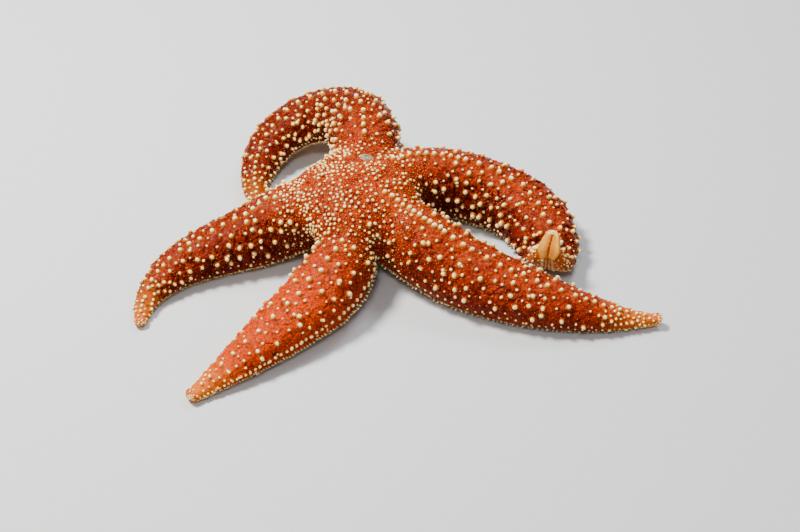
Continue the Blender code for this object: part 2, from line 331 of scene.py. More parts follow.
def domeBall():
    turns, rings = 72, 36
    tilt = np.linspace(0, math.pi, rings + 1)[1:-1, None]
    turn = fullTurn(turns)[None]
    reach = body["domeRadius"] - skinShape["coat"]
    low = body["discLift"] + skinShape["soleGap"]
    high = body["discLift"] + body["domeHeight"] - skinShape["coat"]
    x, y = reach * np.sin(tilt) * np.cos(turn), reach * np.sin(tilt) * np.sin(turn)
    z = (low + high) / 2 - (high - low) / 2 * np.cos(tilt) + 0 * turn
    points = np.stack([x, y, z], -1).reshape(-1, 3)
    points = np.concatenate([points, [[0, 0, low], [0, 0, high]]]) + discCentre
    return points, tubeQuads(rings - 1, turns), endCaps(rings - 1, turns)


# One closed surface round the arms and the dome.
def fusedBody():
    groups, count = [], 0
    for points, quads, fans in [armTube(arm) for arm in starArms] + [domeBall()]:
        groups.append((points, quads + count, fans + count))
        count += len(points)
    points, quads, fans = (np.concatenate(parts) for parts in zip(*groups))
    rough = newObject("rough", meshFrom("rough", points, [quads, fans]))
    remesh = rough.modifiers.new("fuse", "REMESH")
    remesh.mode = "VOXEL"
    remesh.voxel_size = skinShape["voxel"]
    graph = bpy.context.evaluated_depsgraph_get()
    mesh = bpy.data.meshes.new_from_object(rough.evaluated_get(graph))
    bpy.data.objects.remove(rough)
    mesh.name = "skin"
    return mesh


def readNormals(mesh):
    return numbersOf(mesh.vertex_normals, "vector", 3, np.float32).astype(float)


def writePoints(mesh, points):
    mesh.vertices.foreach_set("co", points.ravel())
    mesh.update()


def relax(points, edges, weight, rounds):
    ends = np.concatenate([edges[:, 0], edges[:, 1]])
    others = np.concatenate([edges[:, 1], edges[:, 0]])
    degree = np.bincount(ends, minlength=len(points))[:, None]
    for _ in range(rounds):
        total = np.stack([np.bincount(ends, points[others, axis], len(points)) for axis in range(3)], 1)
        points = points + (total / degree - points) * weight[:, None]
    return points


# For each point: the arm it belongs to, how far along, the angle round the section, 0 over the back,
# a right angle at the widest and pi under the sole, with the side as its sign, and the distance from
# the middle of the foot groove over the groove's half-width.
def armPlaces(points):
    best = np.full(len(points), np.inf)
    found = {"arm": np.zeros(len(points), int)}
    for name in ("along", "angle", "groove"):
        found[name] = np.zeros(len(points))
    for arm in starArms:
        half, height = arm.half(arm.along), arm.height(arm.along)
        middle = arm.soles + arm.up * (body["widestAt"] * height)[:, None]
        apart = (points ** 2).sum(1)[:, None] + (middle ** 2).sum(1)[None] - 2 * points @ middle.T
        near = np.argmin(apart / (half ** 2)[None], 1)
        offset = points - middle[near]
        side = (offset * arm.right[near]).sum(1) / half[near]
        rise = (offset * arm.up[near]).sum(1) / height[near]
        rise = rise / np.where(rise > 0, 1 - body["widestAt"], body["widestAt"])
        ahead = (offset * arm.forward[near]).sum(1)
        fit = side ** 2 + rise ** 2 + (ahead / half[near]) ** 2
        mine = fit < best
        best[mine] = fit[mine]
        found["arm"][mine] = arm.index
        found["along"][mine] = np.clip(arm.along[near] + ahead, 0, arm.length)[mine]
        found["angle"][mine] = np.arctan2(side, rise)[mine]
        lip = body["grooveEdge"] * half[near]
        found["groove"][mine] = (np.abs(side * half[near] - arm.shift(arm.along[near])) / lip)[mine]
    return found


# Carries the foot grooves on through the underside of the disc to the mouth.
def openMouth(points, normals):
    flat = points - discCentre
    reach = np.hypot(flat[:, 0], flat[:, 1])
    low = points[:, 2] < skinShape["mouthBelow"]
    under = (reach < skinShape["mouthReach"]) & (normals[:, 2] < 0.2) & low
    for arm in starArms:
        span = arm.along < skinShape["mouthReach"]
        soles, right = arm.soles[span], arm.right[span]
        apart = ((points[under][:, None, :2] - soles[None, :, :2]) ** 2).sum(-1)
        near = np.argmin(apart, 1)
        along = arm.along[near]
        across = ((points[under] - soles[near])[:, :2] * right[near][:, :2]).sum(1) - arm.shift(along)
        edge = np.interp(along, (0, skinShape["mouthReach"]),
                         (skinShape["mouthGroove"], body["grooveEdge"]))
        share = np.clip(np.abs(across) / (edge * arm.half(along)), 0, 1)
        depth = arm.groove(along) * vault(share)
        ceiling = soles[near][:, 2] + skinShape["soleGap"] + depth
        lifted = points[under]
        lifted[:, 2] = np.where(share < 1, np.maximum(lifted[:, 2], ceiling), lifted[:, 2])
        points[under] = lifted
    return points


def noiseAt(points, size, shift=0.0):
    places = (points / size + shift).tolist()
    return np.array([noise.noise(Vector(place)) for place in places])


def clearOf(roots, centre, reach):
    return roots[np.linalg.norm(roots["place"] - np.array(centre), axis=1) > reach]


skinMesh = fusedBody()
skinEdges = numbersOf(skinMesh.edges, "vertices", 2, np.int32)
skinPoints = numbersOf(skinMesh.vertices, "co", 3)
fromMiddle = np.hypot(*(skinPoints - discCentre)[:, :2].T)
inner, outer = skinShape["softRadius"]
softness = skinShape["softWeight"] * (1 - ramp(fromMiddle, inner, outer - inner))
softness *= ramp(skinPoints[:, 2], *skinShape["softHeight"])
skinPoints = relax(skinPoints, skinEdges, softness, skinShape["softRounds"])
writePoints(skinMesh, skinPoints)
skinPoints = openMouth(skinPoints, readNormals(skinMesh))
evenly = np.full(len(skinPoints), skinShape["evenWeight"])
skinPoints = relax(skinPoints, skinEdges, evenly, skinShape["evenRounds"])
writePoints(skinMesh, skinPoints)
skinMesh.calc_loop_triangles()
print("skin:", len(skinMesh.vertices), "points,", len(skinMesh.loop_triangles), "triangles")

skinPlaces = armPlaces(skinPoints)
skinTriangles = numbersOf(skinMesh.loop_triangles, "vertices", 3, np.int32)


def skinTree():
    points = numbersOf(skinMesh.vertices, "co", 3)
    return BVHTree.FromPolygons([Vector(point) for point in points], skinTriangles.tolist())


# Where the spines grow.

rootType = [("place", "3f8"), ("normal", "3f8"), ("arm", "i4"), ("along", "f8"), ("angle", "f8"),
            ("radius", "f8")]

# In millimetres: "pitch" and "gap" are the distances along and across an arm between the large
# spines, "topFrom" where they start on the top, and "keel" the spacing of the row down the middle of
# the back: where it is close from and to, close and open. "reach" is how many degrees the rows run
# down each side. "margin" and "fringe", the two rows along the arm's edge, have their spacing and
# radius, then their unevenness and the degrees round the section.
spineRows = {
    "right_front": {
        "pitch": 8.4, "gap": 5.9, "topFrom": 34, "reach": 84, "keel": (13, 43, 2.85, 6.2),
        "margin": (3.4, 0.50, 0.08, 102), "fringe": (2.2, 0.29, 0.10, 130),
    },
    "right_back": {
        "pitch": 7.9, "gap": 5.6, "topFrom": 50, "reach": 92, "keel": (20, 56, 4.0, 6.4),
        "margin": (4.2, 0.54, 0.12, 104), "fringe": (2.6, 0.27, 0.14, 130),
    },
    "back": {
        "pitch": 6.6, "gap": 5.1, "topFrom": 38, "reach": 92, "keel": (34, 40, 4.6, 5.6),
        "margin": (3.6, 0.48, 0.10, 104), "fringe": (2.4, 0.28, 0.12, 130),
    },
    "left": {
        "pitch": 6.9, "gap": 5.4, "topFrom": 40, "reach": 84, "keel": (30, 40, 4.8, 5.6),
        "margin": (4.0, 0.42, 0.12, 104), "fringe": (2.0, 0.28, 0.10, 130),
    },
    "front": {
        "pitch": 9.4, "gap": 6.6, "topFrom": 36, "reach": 64, "keel": (28, 30, 6.0, 7.6),
        "margin": (2.9, 0.76, 0.015, 80), "fringe": (1.6, 0.36, 0.05, 108),
    },
}

largeSpine = {
    "radius": (0.62 * mm, 1.10 * mm),
    "jitter": 0.20,
    "missing": 0.07,
    "twins": 0.18,  # share of large spines with a smaller neighbour grown against them
    "tipSize": 0.50,  # size at the arm's tip over size at its root
    "flankFirst": 14 * mm,  # how much sooner the rows start down the sides than on the top
    "bareTip": 3 * mm,
    "near": 2.6 * mm,  # those closer than this may stand in one another
    "uneven": 0.09,
}


def sizeShare(arm, distance):
    full, tip = arm.shape["width"] / 2, largeSpine["tipSize"]
    return np.clip(tip + (1 - tip) * arm.half(distance) / full, 0, 1)


def rootAt(arm, place, normal, distance, angle, radius):
    return tuple(place), tuple(normal), arm.index, distance, angle, radius


# The skin seen from inside an arm, at a distance along and an angle round.
def findRoot(tree, arm, distance, angle, radius):
    distance = float(np.clip(distance, 0, arm.length))
    half, height, middle = arm.half(distance), arm.height(distance), body["widestAt"]
    reach = 1 - middle if math.cos(angle) > 0 else middle
    start = arm.point(distance, 0, middle * height)
    far = arm.point(distance, math.sin(angle) * half, (middle + math.cos(angle) * reach) * height)
    place, normal, _, _ = tree.ray_cast(Vector(start), Vector(far - start).normalized())
    return place and rootAt(arm, place, normal, distance, angle, radius)


def collect(roots):
    return np.array([root for root in roots if root], rootType)


def keelRow(tree, arm):
    start, close, closeGap, openGap = (value * mm for value in spineRows[arm.name]["keel"])
    roots, distance = [], start
    while distance < arm.length - largeSpine["bareTip"]:
        share = sizeShare(arm, distance)
        radius = rng.uniform(0.92, 1.05) * largeSpine["radius"][1] * share
        roots.append(findRoot(tree, arm, distance, rng.normal(0, 0.03), radius))
        distance += closeGap if distance < close else openGap * share * rng.uniform(0.75, 1.25)
    return roots


def largeRoots(tree, arm):
    roots = keelRow(tree, arm)
    pitch, gap, topFrom = (spineRows[arm.name][name] * mm for name in ("pitch", "gap", "topFrom"))
    low, high = largeSpine["radius"]
    distance, odd = topFrom - largeSpine["flankFirst"], 0
    while distance < arm.length - largeSpine["bareTip"]:
        share = sizeShare(arm, distance)
        girth = (arm.half(distance) + (1 - body["widestAt"]) * arm.height(distance)) / 2
        step = gap * share / girth
        spread = largeSpine["jitter"] * step
        for side in (-1, 1):
            angle = step * (1.55 if odd else 1.05)
            while angle < math.radians(spineRows[arm.name]["reach"]):
                onTop = angle < 0.75 and distance < topFrom
                if rng.random() > largeSpine["missing"] and not onTop:
                    at = distance + rng.normal(0, largeSpine["jitter"]) * pitch * share
                    turn = side * (angle + rng.normal(0, 1) * spread)
                    radius = (low + (high - low) * rng.random() ** 0.6) * share
                    roots.append(findRoot(tree, arm, at, turn, radius))
                    if rng.random() < largeSpine["twins"]:
                        away = rng.uniform(0, 2 * math.pi)
                        at += math.cos(away) * radius * 1.7
                        turn += math.sin(away) * radius * 1.7 / girth
                        roots.append(findRoot(tree, arm, at, turn, radius * rng.uniform(0.5, 0.8)))
                angle += step
        distance += pitch * share
        odd = 1 - odd
    return collect(roots)


# Drops roots that stand in one another, smaller ones first.
def thinned(roots, share=0.8):
    kept, gone, tree = [], set(), KDTree(len(roots))
    for index, root in enumerate(roots):
        tree.insert(root["place"], index)
    tree.balance()
    for index in np.argsort(-roots["radius"]):
        if index in gone:
            continue
        kept.append(index)
        for _, other, distance in tree.find_range(roots[index]["place"], largeSpine["near"]):
            if distance < (roots[index]["radius"] + roots[other]["radius"]) * share:
                gone.add(other)
    return roots[sorted(kept)]


# Random places over the skin, each keeping clear of those before it. spacingAt gives the clear
# width round each candidate, and 0 where nothing grows. A cell is wider than any of them.
def scatter(kind, spacingAt, radiusAt, standing):
    tries, cell = kind["tries"], kind["cell"]
    corners = skinPoints[skinTriangles]
    crosses = np.cross(corners[:, 1] - corners[:, 0], corners[:, 2] - corners[:, 0])
    area = np.linalg.norm(crosses, axis=1)
    chosen = rng.choice(len(area), tries, p=area / area.sum())
    mixing = rng.dirichlet((1, 1, 1), tries)
    places = (corners[chosen] * mixing[:, :, None]).sum(1)
    where = {name: values[skinTriangles[chosen, 0]] for name, values in skinPlaces.items()}
    spacing = spacingAt(where, places)
    cells = {}
    for root in standing:
        key = tuple(np.floor(root["place"] / cell).astype(int))
        cells.setdefault(key, []).append((*root["place"], 2 * root["radius"]))
    offsets = [(i, j, k) for i in (-1, 0, 1) for j in (-1, 0, 1) for k in (-1, 0, 1)]
    keys = np.floor(places / cell).astype(int).tolist()
    kept = []
    for index, ((a, b, c), clear, (x, y, z)) in enumerate(zip(places.tolist(), spacing.tolist(), keys)):
        if clear <= 0 or any((a - u) ** 2 + (b - v) ** 2 + (c - w) ** 2 < ((clear + other) / 2) ** 2
                             for i, j, k in offsets
                             for u, v, w, other in cells.get((x + i, y + j, z + k), ())):
            continue
        kept.append(index)
        cells.setdefault((x, y, z), []).append((a, b, c, clear))
    roots = np.zeros(len(kept), rootType)
    roots["place"], roots["normal"] = places[kept], unit(crosses[chosen])[kept]
    for name in ("arm", "along", "angle"):
        roots[name] = where[name][kept]
    roots["radius"] = radiusAt(roots)
    return roots


smallSpine = {
    "tries": 60000, "cell": 5.4 * mm,
    "discGap": 2.2 * mm,
    "thickens": 26 * mm,  # they stand closer on the disc's left side, from this far out
    "armGap": 4.7 * mm,
    "tipGap": 2.1 * mm,
    "flankGap": 1.6 * mm,  # more than on the back
    "reach": 104,  # degrees round the section
    "discEnds": (24 * mm, 38 * mm),  # the disc's close spacing opens out between these
    "radius": (0.36 * mm, 0.78 * mm),
    "chainSize": 7 * mm,  # of the loose chains that they stand in
    "bare": 0.26,
    "uneven": 0.08,
}

stud = {
    "tries": 60000, "cell": 2.4 * mm,
    "gap": 1.6 * mm,
    "from": 132,
    "radius": (0.42 * mm, 0.60 * mm),
}

granule = {
    "tries": 90000, "cell": 2.4 * mm,
    "discGap": 1.1 * mm,
    "armGap": 2.5 * mm,
    "reach": 130,
    "radius": (0.14 * mm, 0.30 * mm),
    "wreath": 4,  # granules round each large spine
    "wreathRadius": (0.14, 0.26),  # in millimetres
}


def onBack(where, limitDegrees):
    return np.abs(where["angle"]) < math.radians(limitDegrees)


# 1 over the disc, and 0 beyond a band that starts at a distance along the arms.
def discShare(places, start, width):
    return 1 - ramp(places["along"], start, width)


def smallGaps(where, places):
    start, end = smallSpine["discEnds"]
    aside = np.clip((places - discCentre)[:, 0] / smallSpine["thickens"], -1, 1)
    discGap = smallSpine["discGap"] * (1 + 0.24 * aside)
    gap = discGap + (smallSpine["armGap"] - discGap) * ramp(where["along"], start, end - start)
    tip = ramp(shareAlong(where), 0.72, 0.2)
    gap = gap + (smallSpine["tipGap"] - gap) * tip
    flank = ramp(np.abs(where["angle"]), 1.2, 0.5) * (1 - tip)
    chains = noiseAt(places, smallSpine["chainSize"], 4.0)
    gap = (gap + smallSpine["flankGap"] * flank) * (1 - 0.55 * chains)
    bare = (chains < -smallSpine["bare"]) & (tip < 0.5)
    return np.where(onBack(where, smallSpine["reach"]) & ~bare, gap, 0)


def smallRadii(roots):
    low, high = smallSpine["radius"]
    size = rng.beta(1.6, 2.2, len(roots)) + 0.12 * discShare(roots, 34 * mm, 22 * mm)
    return low + (high - low) * np.clip(size, 0, 1)


def granuleGaps(where, places):
    onArm = ramp(where["along"], 30 * mm, 20 * mm)
    gap = granule["discGap"] + (granule["armGap"] - granule["discGap"]) * onArm
    return np.where(onBack(where, granule["reach"]), gap, 0)


def granuleRadii(roots):
    low, high = granule["radius"]
    larger = 0.35 * discShare(roots, 24 * mm, 18 * mm)
    return low + (high - low) * (rng.random(len(roots)) ** 1.5 + larger)


def studGaps(where, places):
    return np.where((where["groove"] > 1.3) & ~onBack(where, stud["from"]), stud["gap"], 0)


def studRadii(roots):
    low, high = stud["radius"]
    taper = halfWidths(roots) * 2.4 / perArm(roots, lambda arm: arm.shape["width"])
    return (low + (high - low) * rng.random(len(roots))) * np.clip(taper, 0.4, 1)


def wreaths(tree):
    roots = []
    for root in large:
        normal = Vector(root["normal"])
        side = normal.orthogonal().normalized()
        other = normal.cross(side)
        count = max(4, round(granule["wreath"] * root["radius"] / largeSpine["radius"][1]))
        first = rng.uniform(0, 2 * math.pi)
        for index in range(count):
            turn = first + 2 * math.pi * (index + rng.uniform(-0.3, 0.3)) / count
            reach = root["radius"] * rng.uniform(1.5, 2.4)
            place = Vector(root["place"]) + (side * math.cos(turn) + other * math.sin(turn)) * reach
            found, up, _, _ = tree.find_nearest(place)
            roots.append((tuple(found), tuple(up), root["arm"], root["along"], root["angle"],
                          rng.uniform(*granule["wreathRadius"]) * mm))
    return collect(roots)


smoothTree = skinTree()
large = thinned(np.concatenate([largeRoots(smoothTree, arm) for arm in starArms]))
small = scatter(smallSpine, smallGaps, smallRadii, large)
granules = scatter(granule, granuleGaps, granuleRadii, np.concatenate([large, small]))
granules = np.concatenate([granules, wreaths(smoothTree)])
studs = scatter(stud, studGaps, studRadii, large[:0])
sieveLow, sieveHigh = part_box("madreporite")
sieveCentre = (sieveLow + sieveHigh) / 2
sieveClear = 4.6 * mm  # nothing grows closer to the middle of the sieve plate
large, small, granules = (clearOf(roots, sieveCentre, sieveClear) for roots in (large, small, granules))
print("spines:", len(large), "large,", len(small), "small")
print("and", len(granules), "granules,", len(studs), "studs")


# The skin's relief, its markings and its painted shade.

relief = {
    "cushion": 0.50 * mm,  # height of the pad that each large spine stands on
    "padReach": 2.5,  # its radius over the spine's
    "lumps": 0.50 * mm,
    "lumpSize": 9 * mm,
    "knobs": 0.34 * mm,
    "knobSize": 3.6 * mm,
    "furrows": 0.75 * mm,
    "furrowGap": 2.8 * mm,
    "creases": 0.32 * mm,
    "creaseSize": 5.5 * mm,
    "hem": 0.55 * mm,
    "valleys": 1.1 * mm,  # hollows of the disc, running in between the arms
    "grain": 0.20 * mm,
    "grainSize": 1.5 * mm,
}

# For each arm: how strongly its flanks are furrowed, the furrows darkened with painted shade; how much
# painted shade darkens its flanks, and how much its back away from the disc; and how high the hem is
# that carries the row along its edge. Then where it turns amber and where it is bruised: shares of the
# length from and to, and how much.
marksAndShade = {
    "right_front": {"furrow": 0.60, "paintedShade": 0.22, "shade": 0.00, "hem": 0.3,
                    "amber": (0.74, 1.00, 0.70), "bruise": (0.30, 0.85, 0.35)},
    "right_back": {"furrow": 1.10, "paintedShade": 0.80, "shade": 0.10, "hem": 0.3,
                   "amber": (0.80, 1.00, 0.40), "bruise": (0.25, 0.80, 0.40)},
    "back": {"furrow": 0.80, "paintedShade": 0.80, "shade": 0.75, "hem": 0.2,
             "amber": (0.50, 0.90, 0.10), "bruise": (0.05, 0.35, 0.35)},
    "left": {"furrow": 1.20, "paintedShade": 0.70, "shade": 0.50, "hem": 0.5,
             "amber": (0.60, 1.00, 0.20), "bruise": (0.15, 0.50, 0.25)},
    "front": {"furrow": 0.45, "paintedShade": 0.20, "shade": 0.00, "hem": 1.0,
              "amber": (0.16, 0.60, 1.00), "bruise": (0.05, 0.35, 0.40)},
}


# Creases are thin lines where a noise passes through nought.
def linesAt(points, size, shift, sharpness):
    return 1 - np.clip(np.abs(noiseAt(points, size, shift)) * sharpness, 0, 1)


# The disc sinks a little between the arms.
def valleysAt(points):
    flat = (points - discCentre)[:, :2]
    reach = np.hypot(*flat.T)
    turn = np.degrees(np.arctan2(flat[:, 1], flat[:, 0]))
    heads = sorted(arm.shape["headings"][0] % 360 for arm in starArms)
    total = np.zeros(len(points))
    for this, after in zip(heads, heads[1:] + [heads[0] + 360]):
        away = (turn - (this + after) / 2 + 180) % 360 - 180
        total += np.exp(-(away / 15) ** 2)
    return total * ramp(reach, 7 * mm, 12 * mm) * (1 - ramp(reach, 30 * mm, 14 * mm))


def marked(places, name):
    return perArm(places, lambda arm: marksAndShade[arm.name][name])


# The fold along an arm's edge, with a hollow under it.
def hemAt(places):
    edgeTurn = perArm(places, lambda arm: spineRows[arm.name]["margin"][3])
    away = np.degrees(np.abs(places["angle"])) - edgeTurn
    fold = np.exp(-(away / 8) ** 2) - 0.8 * np.exp(-((away - 16) / 7) ** 2)
    return fold * marked(places, "hem") * (1 - discShare(places, 18 * mm, 12 * mm))


# Furrows run across the arms, so their noise is stretched round the section.
def furrowsAt(places):
    stretched = np.stack([places["along"] / relief["furrowGap"], places["angle"] * 1.3,
                          places["arm"] * 7.3], 1)
    stretched[:, 0] += 1.5 * noiseAt(stretched * [0.25, 1.4, 1], 1.0, 3.1)
    turn = np.abs(places["angle"])
    flank = ramp(turn, 0.15, 0.5) * (1 - ramp(turn, 1.75, 0.3))
    onArm = ramp(places["along"], 24 * mm, 14 * mm) * (1 - ramp(shareAlong(places), 0.8, 0.15))
    return linesAt(stretched, 1.0, 0.0, 6.5) * marked(places, "furrow") * flank * onArm


def padsAt(points, roots, reachShare):
    tree = KDTree(len(points))
    for index, point in enumerate(points.tolist()):
        tree.insert(point, index)
    tree.balance()
    pads = np.zeros(len(points))
    for root in roots:
        reach = root["radius"] * reachShare
        for _, index, distance in tree.find_range(root["place"], reach):
            pads[index] = max(pads[index], (1 - (distance / reach) ** 2) ** 2)
    return pads


def between(value, start, end):
    return ramp(value, start, np.maximum(end - start, 0.01))


# The fields that the finishes of skin and spines share, from a place on an arm.
def bodyFields(places):
    share, turn = shareAlong(places), np.abs(places["angle"]) / math.pi
    # Painted shade: the flanks darken, less near the tip, and some arms darken from a little way out
    # along their length.
    flank = ramp(turn, 0.16, 0.34) * smooth(places["along"] / (26 * mm))
    paintedShade = marked(places, "paintedShade") * flank * (1 - 0.7 * ramp(share, 0.74, 0.12))
    shade = marked(places, "shade") * ramp(share, 0.16, 0.24)
    goldFrom, goldTo, gold = marked(places, "amber").T
    start, end, bruise = marked(places, "bruise").T
    bruise = between(share, start - 0.1, start) * (1 - between(share, end, end + 0.1)) * bruise
    return {"share": share, "turn": turn, "amber": between(share, goldFrom, goldTo) * gold,
            "paintedShade": np.maximum(paintedShade, shade), "bruise": bruise}


def shapeSkin():
    normals = readNormals(skinMesh)
    largePads, smallPads = (padsAt(skinPoints, roots, relief["padReach"]) for roots in (large, small))
    furrows = furrowsAt(skinPlaces)
    back = 1 - ramp(np.abs(skinPlaces["angle"]) / math.pi, 0.62, 0.1)
    creases = linesAt(skinPoints, relief["creaseSize"], 7.0, 9.0) * back
    scale = halfWidths(skinPlaces) / perArm(skinPlaces, lambda arm: arm.shape["width"] / 2)
    height = np.maximum(largePads, 0.5 * smallPads) * relief["cushion"]
    height += noiseAt(skinPoints, relief["lumpSize"]) * relief["lumps"] * back
    height += noiseAt(skinPoints, relief["knobSize"], 2.0) * relief["knobs"] * back
    height -= furrows * relief["furrows"] + creases * relief["creases"]
    height -= valleysAt(skinPoints) * relief["valleys"] * back
    height += hemAt(skinPlaces) * relief["hem"]
    height *= np.clip(scale, 0.2, 1)
    height += noiseAt(skinPoints, relief["grainSize"], 5.0) * relief["grain"] * back
    writePoints(skinMesh, skinPoints + normals * height[:, None])
    fields = bodyFields(skinPlaces)
    fields["halo"] = np.maximum(largePads, 0.8 * smallPads)
    # The furrows and creases also carry painted shade in the skin's colour.
    fields["furrow"] = np.maximum(furrows, 0.6 * creases)
    setFields(skinMesh, fields)


shapeSkin()
reliefTree = skinTree()
print("skin shaped")


# Roots brought onto the shaped skin, from a little above the smooth one.
def seated(roots, above=2 * mm):
    for root in roots:
        up = Vector(root["normal"])
        place, _, _, _ = reliefTree.ray_cast(Vector(root["place"]) + up * above, -up)
        if place is not None:
            root["place"] = place
    return roots


# Spines, granules and tube feet, as joined meshes.

# Turned outlines: radius and height, both as shares of the spine's radius, from the root up. "tip"
# is the height of the top, and "base" that of the point that closes the root.
outlines = {
    "large": {"segments": 12, "tip": 1.42, "base": -0.5,
              "rows": [(1.50, -0.42), (1.20, 0.02), (1.00, 0.34), (0.90, 0.62), (0.92, 0.86),
                       (0.84, 1.10), (0.60, 1.29), (0.29, 1.38)]},
    "small": {"segments": 8, "tip": 1.30, "base": -0.4,
              "rows": [(1.35, -0.30), (1.02, 0.30), (1.00, 0.72), (0.68, 1.06)]},
    "margin": {"segments": 8, "tip": 1.18, "base": -0.4,
               "rows": [(1.35, -0.30), (1.02, 0.30), (1.00, 0.72), (0.68, 1.06)]},
    "granule": {"segments": 6, "tip": 0.95, "base": -0.4, "rows": [(1.00, 0.25)]},
    "fringe": {"segments": 8, "tip": 4.2, "base": -0.7,
               "rows": [(1.15, -0.6), (1.0, 0.8), (0.96, 2.6), (0.86, 3.5), (0.50, 4.0)]},
    "spike": {"segments": 6, "tip": 6.5, "base": -0.7,
              "rows": [(1.25, -0.6), (1.0, 0.8), (0.92, 3.2), (0.74, 5.2), (0.40, 6.2)]},
    "foot": {"segments": 8, "tip": 5.5, "base": -0.6,
             "rows": [(0.95, -0.5), (0.80, 1.0), (0.74, 3.0), (0.80, 4.6), (1.22, 5.0), (1.25, 5.3),
                      (0.70, 5.45)]},
    "jaw": {"segments": 14, "tip": 4.0, "base": -0.6,
            "rows": [(0.55, -0.3), (0.95, 0.5), (1.10, 1.6), (1.0, 2.8), (0.7, 3.7)]},
}
patchHalf = 0.0015  # half the width of each root's patch on the unwrap


def turnedShape(name):
    outline, segments = outlines[name], outlines[name]["segments"]
    turn = fullTurn(segments)
    ring = np.stack([np.cos(turn), np.sin(turn)], 1)
    rows = [np.column_stack([ring * radius, np.full(segments, height)])
            for radius, height in outline["rows"]]
    points = np.concatenate(rows + [[[0, 0, outline["tip"]]], [[0, 0, outline["base"]]]])
    count = len(rows) * segments
    fans = [capFan(count - segments, segments, count), capFan(0, segments, count + 1, True)]
    return points, tubeQuads(len(rows), segments), np.concatenate(fans)


# Copies of one turned shape at many roots, with the fields that their finish reads and a small
# patch each on an unwrap of their own: a strip for each arm, round it and along it. Varied copies
# are a little oval and turned at random.
def grow(name, roots, shape, finish, ways=None, stretch=1.0, varied=False, uneven=0):
    points, quads, fans = turnedShape(shape)
    count, corners = len(roots), len(points)
    ups = unit(roots["normal"] if ways is None else ways)
    side = unit(np.cross(ups, [0.31, 0.52, 0.8]))
    other = np.cross(ups, side)
    oval = rng.uniform(1.0, 1.16, count) if varied else np.ones(count)
    twist = rng.uniform(0, math.pi, count) if varied else np.zeros(count)
    turnedSide = side * np.cos(twist)[:, None] + other * np.sin(twist)[:, None]
    turnedOther = np.cross(ups, turnedSide)
    size = roots["radius"]
    axes = [turnedSide * (size * oval)[:, None], turnedOther * (size / oval)[:, None],
            ups * (size * stretch)[:, None]]
    placed = roots["place"][:, None]
    for axis, direction in enumerate(axes):
        placed = placed + points[None, :, axis, None] * direction[:, None]
    if uneven:
        knobs = noiseAt(placed.reshape(-1, 3), 0.9 * mm).reshape(count, corners)
        placed += (placed - roots["place"][:, None]) * (knobs * uneven)[:, :, None]
    placed[:, :, 2] = np.maximum(placed[:, :, 2], floorGap)
    shift = (np.arange(count) * corners)[:, None, None]
    groups = [(faces[None] + shift).reshape(-1, faces.shape[1])
              for faces in (quads, fans) if len(faces)]
    mesh = meshFrom(name, placed.reshape(-1, 3), groups)
    fields = {field: np.repeat(values, corners) for field, values in bodyFields(roots).items()}
    fields["rise"] = np.tile(np.clip(points[:, 2] / points[:, 2].max(), 0, 1), count)
    fields["tone"] = np.repeat(np.random.default_rng(count).random(count), corners)
    setFields(mesh, fields)
    centre = np.stack([(roots["arm"] + 0.5 + 0.46 * roots["angle"] / math.pi) / len(starArms),
                       0.02 + 0.96 * shareAlong(roots)], 1)
    patch = points[:, :2] / np.abs(points[:, :2]).max() * patchHalf
    spots = (centre[:, None] + patch[None]).reshape(-1, 2)
    order = numbersOf(mesh.loops, "vertex_index", 1, np.int32).ravel()
    unwrap = mesh.uv_layers.new(name="OFBake")
    unwrap.data.foreach_set("uv", spots[order].astype(np.float32).ravel())
    return newPiece(name, mesh, finish)


# Finishes.

class Wire:
    def __init__(self, finish, socket):
        self.finish, self.socket = finish, socket

    def maths(self, operation, first, second):
        return self.finish.node("ShaderNodeMath", {"operation": operation}, {0: first, 1: second})

    def __add__(self, other):
        return self.maths("ADD", self, other)

    def __sub__(self, other):
        return self.maths("SUBTRACT", self, other)

    def __rsub__(self, other):
        return self.maths("SUBTRACT", other, self)

    def __mul__(self, other):
        return self.maths("MULTIPLY", self, other)

    __radd__, __rmul__ = __add__, __mul__

    # 0 below low, 1 above high, and a soft step between.
    def step(self, low, high):
        limits = {"Value": self, "From Min": low, "From Max": high}
        return self.finish.node("ShaderNodeMapRange", {"interpolation_type": "SMOOTHSTEP"}, limits)


class Finish:
    def __init__(self, name):
        self.material = bpy.data.materials.new(name)
        self.material.use_nodes = True
        self.tree = self.material.node_tree
        self.shader = self.tree.nodes["Principled BSDF"]
        self.where = self.node("ShaderNodeTexCoord", output="Object")

    def feed(self, node, inputs):
        for key, value in inputs.items():
            if isinstance(value, Wire):
                self.tree.links.new(value.socket, node.inputs[key])
            else:
                node.inputs[key].default_value = value

    def node(self, kind, settings=None, inputs=None, output=0):
        node = self.tree.nodes.new(kind)
        for key, value in (settings or {}).items():
            setattr(node, key, value)
        self.feed(node, inputs or {})
        return Wire(self, node.outputs[output])

    def field(self, name):
        return self.node("ShaderNodeAttribute", {"attribute_name": name}, output="Fac")

    # Colours are wires, triples, or names from the dictionary of colours.
    def mix(self, first, second, share):
        inputs = {0: share}
        for socket, value in ((6, first), (7, second)):
            value = colours[value] if isinstance(value, str) else value
            inputs[socket] = (*value, 1) if isinstance(value, tuple) else value
        return self.node("ShaderNodeMix", {"data_type": "RGBA"}, inputs, output=2)

    def clouds(self, size, detail=3, roughness=0.55):
        inputs = {"Vector": self.where, "Scale": 1 / size, "Detail": detail, "Roughness": roughness}
        return self.node("ShaderNodeTexNoise", {}, inputs)

    def cells(self, size):
        inputs = {"Vector": self.where, "Scale": 1 / size}
        return self.node("ShaderNodeTexVoronoi", {}, inputs, output="Distance")

    def bump(self, height, depth, strength=1.0):
        inputs = {"Height": height, "Distance": depth, "Strength": strength}
        return self.node("ShaderNodeBump", {}, inputs)

    def dress(self, colour, roughness, normal=None, fixed=None):
        self.feed(self.shader, {"Base Color": colour, "Roughness": roughness, **(fixed or {})})
        if normal:
            self.feed(self.shader, {"Normal": normal})
        return self.material


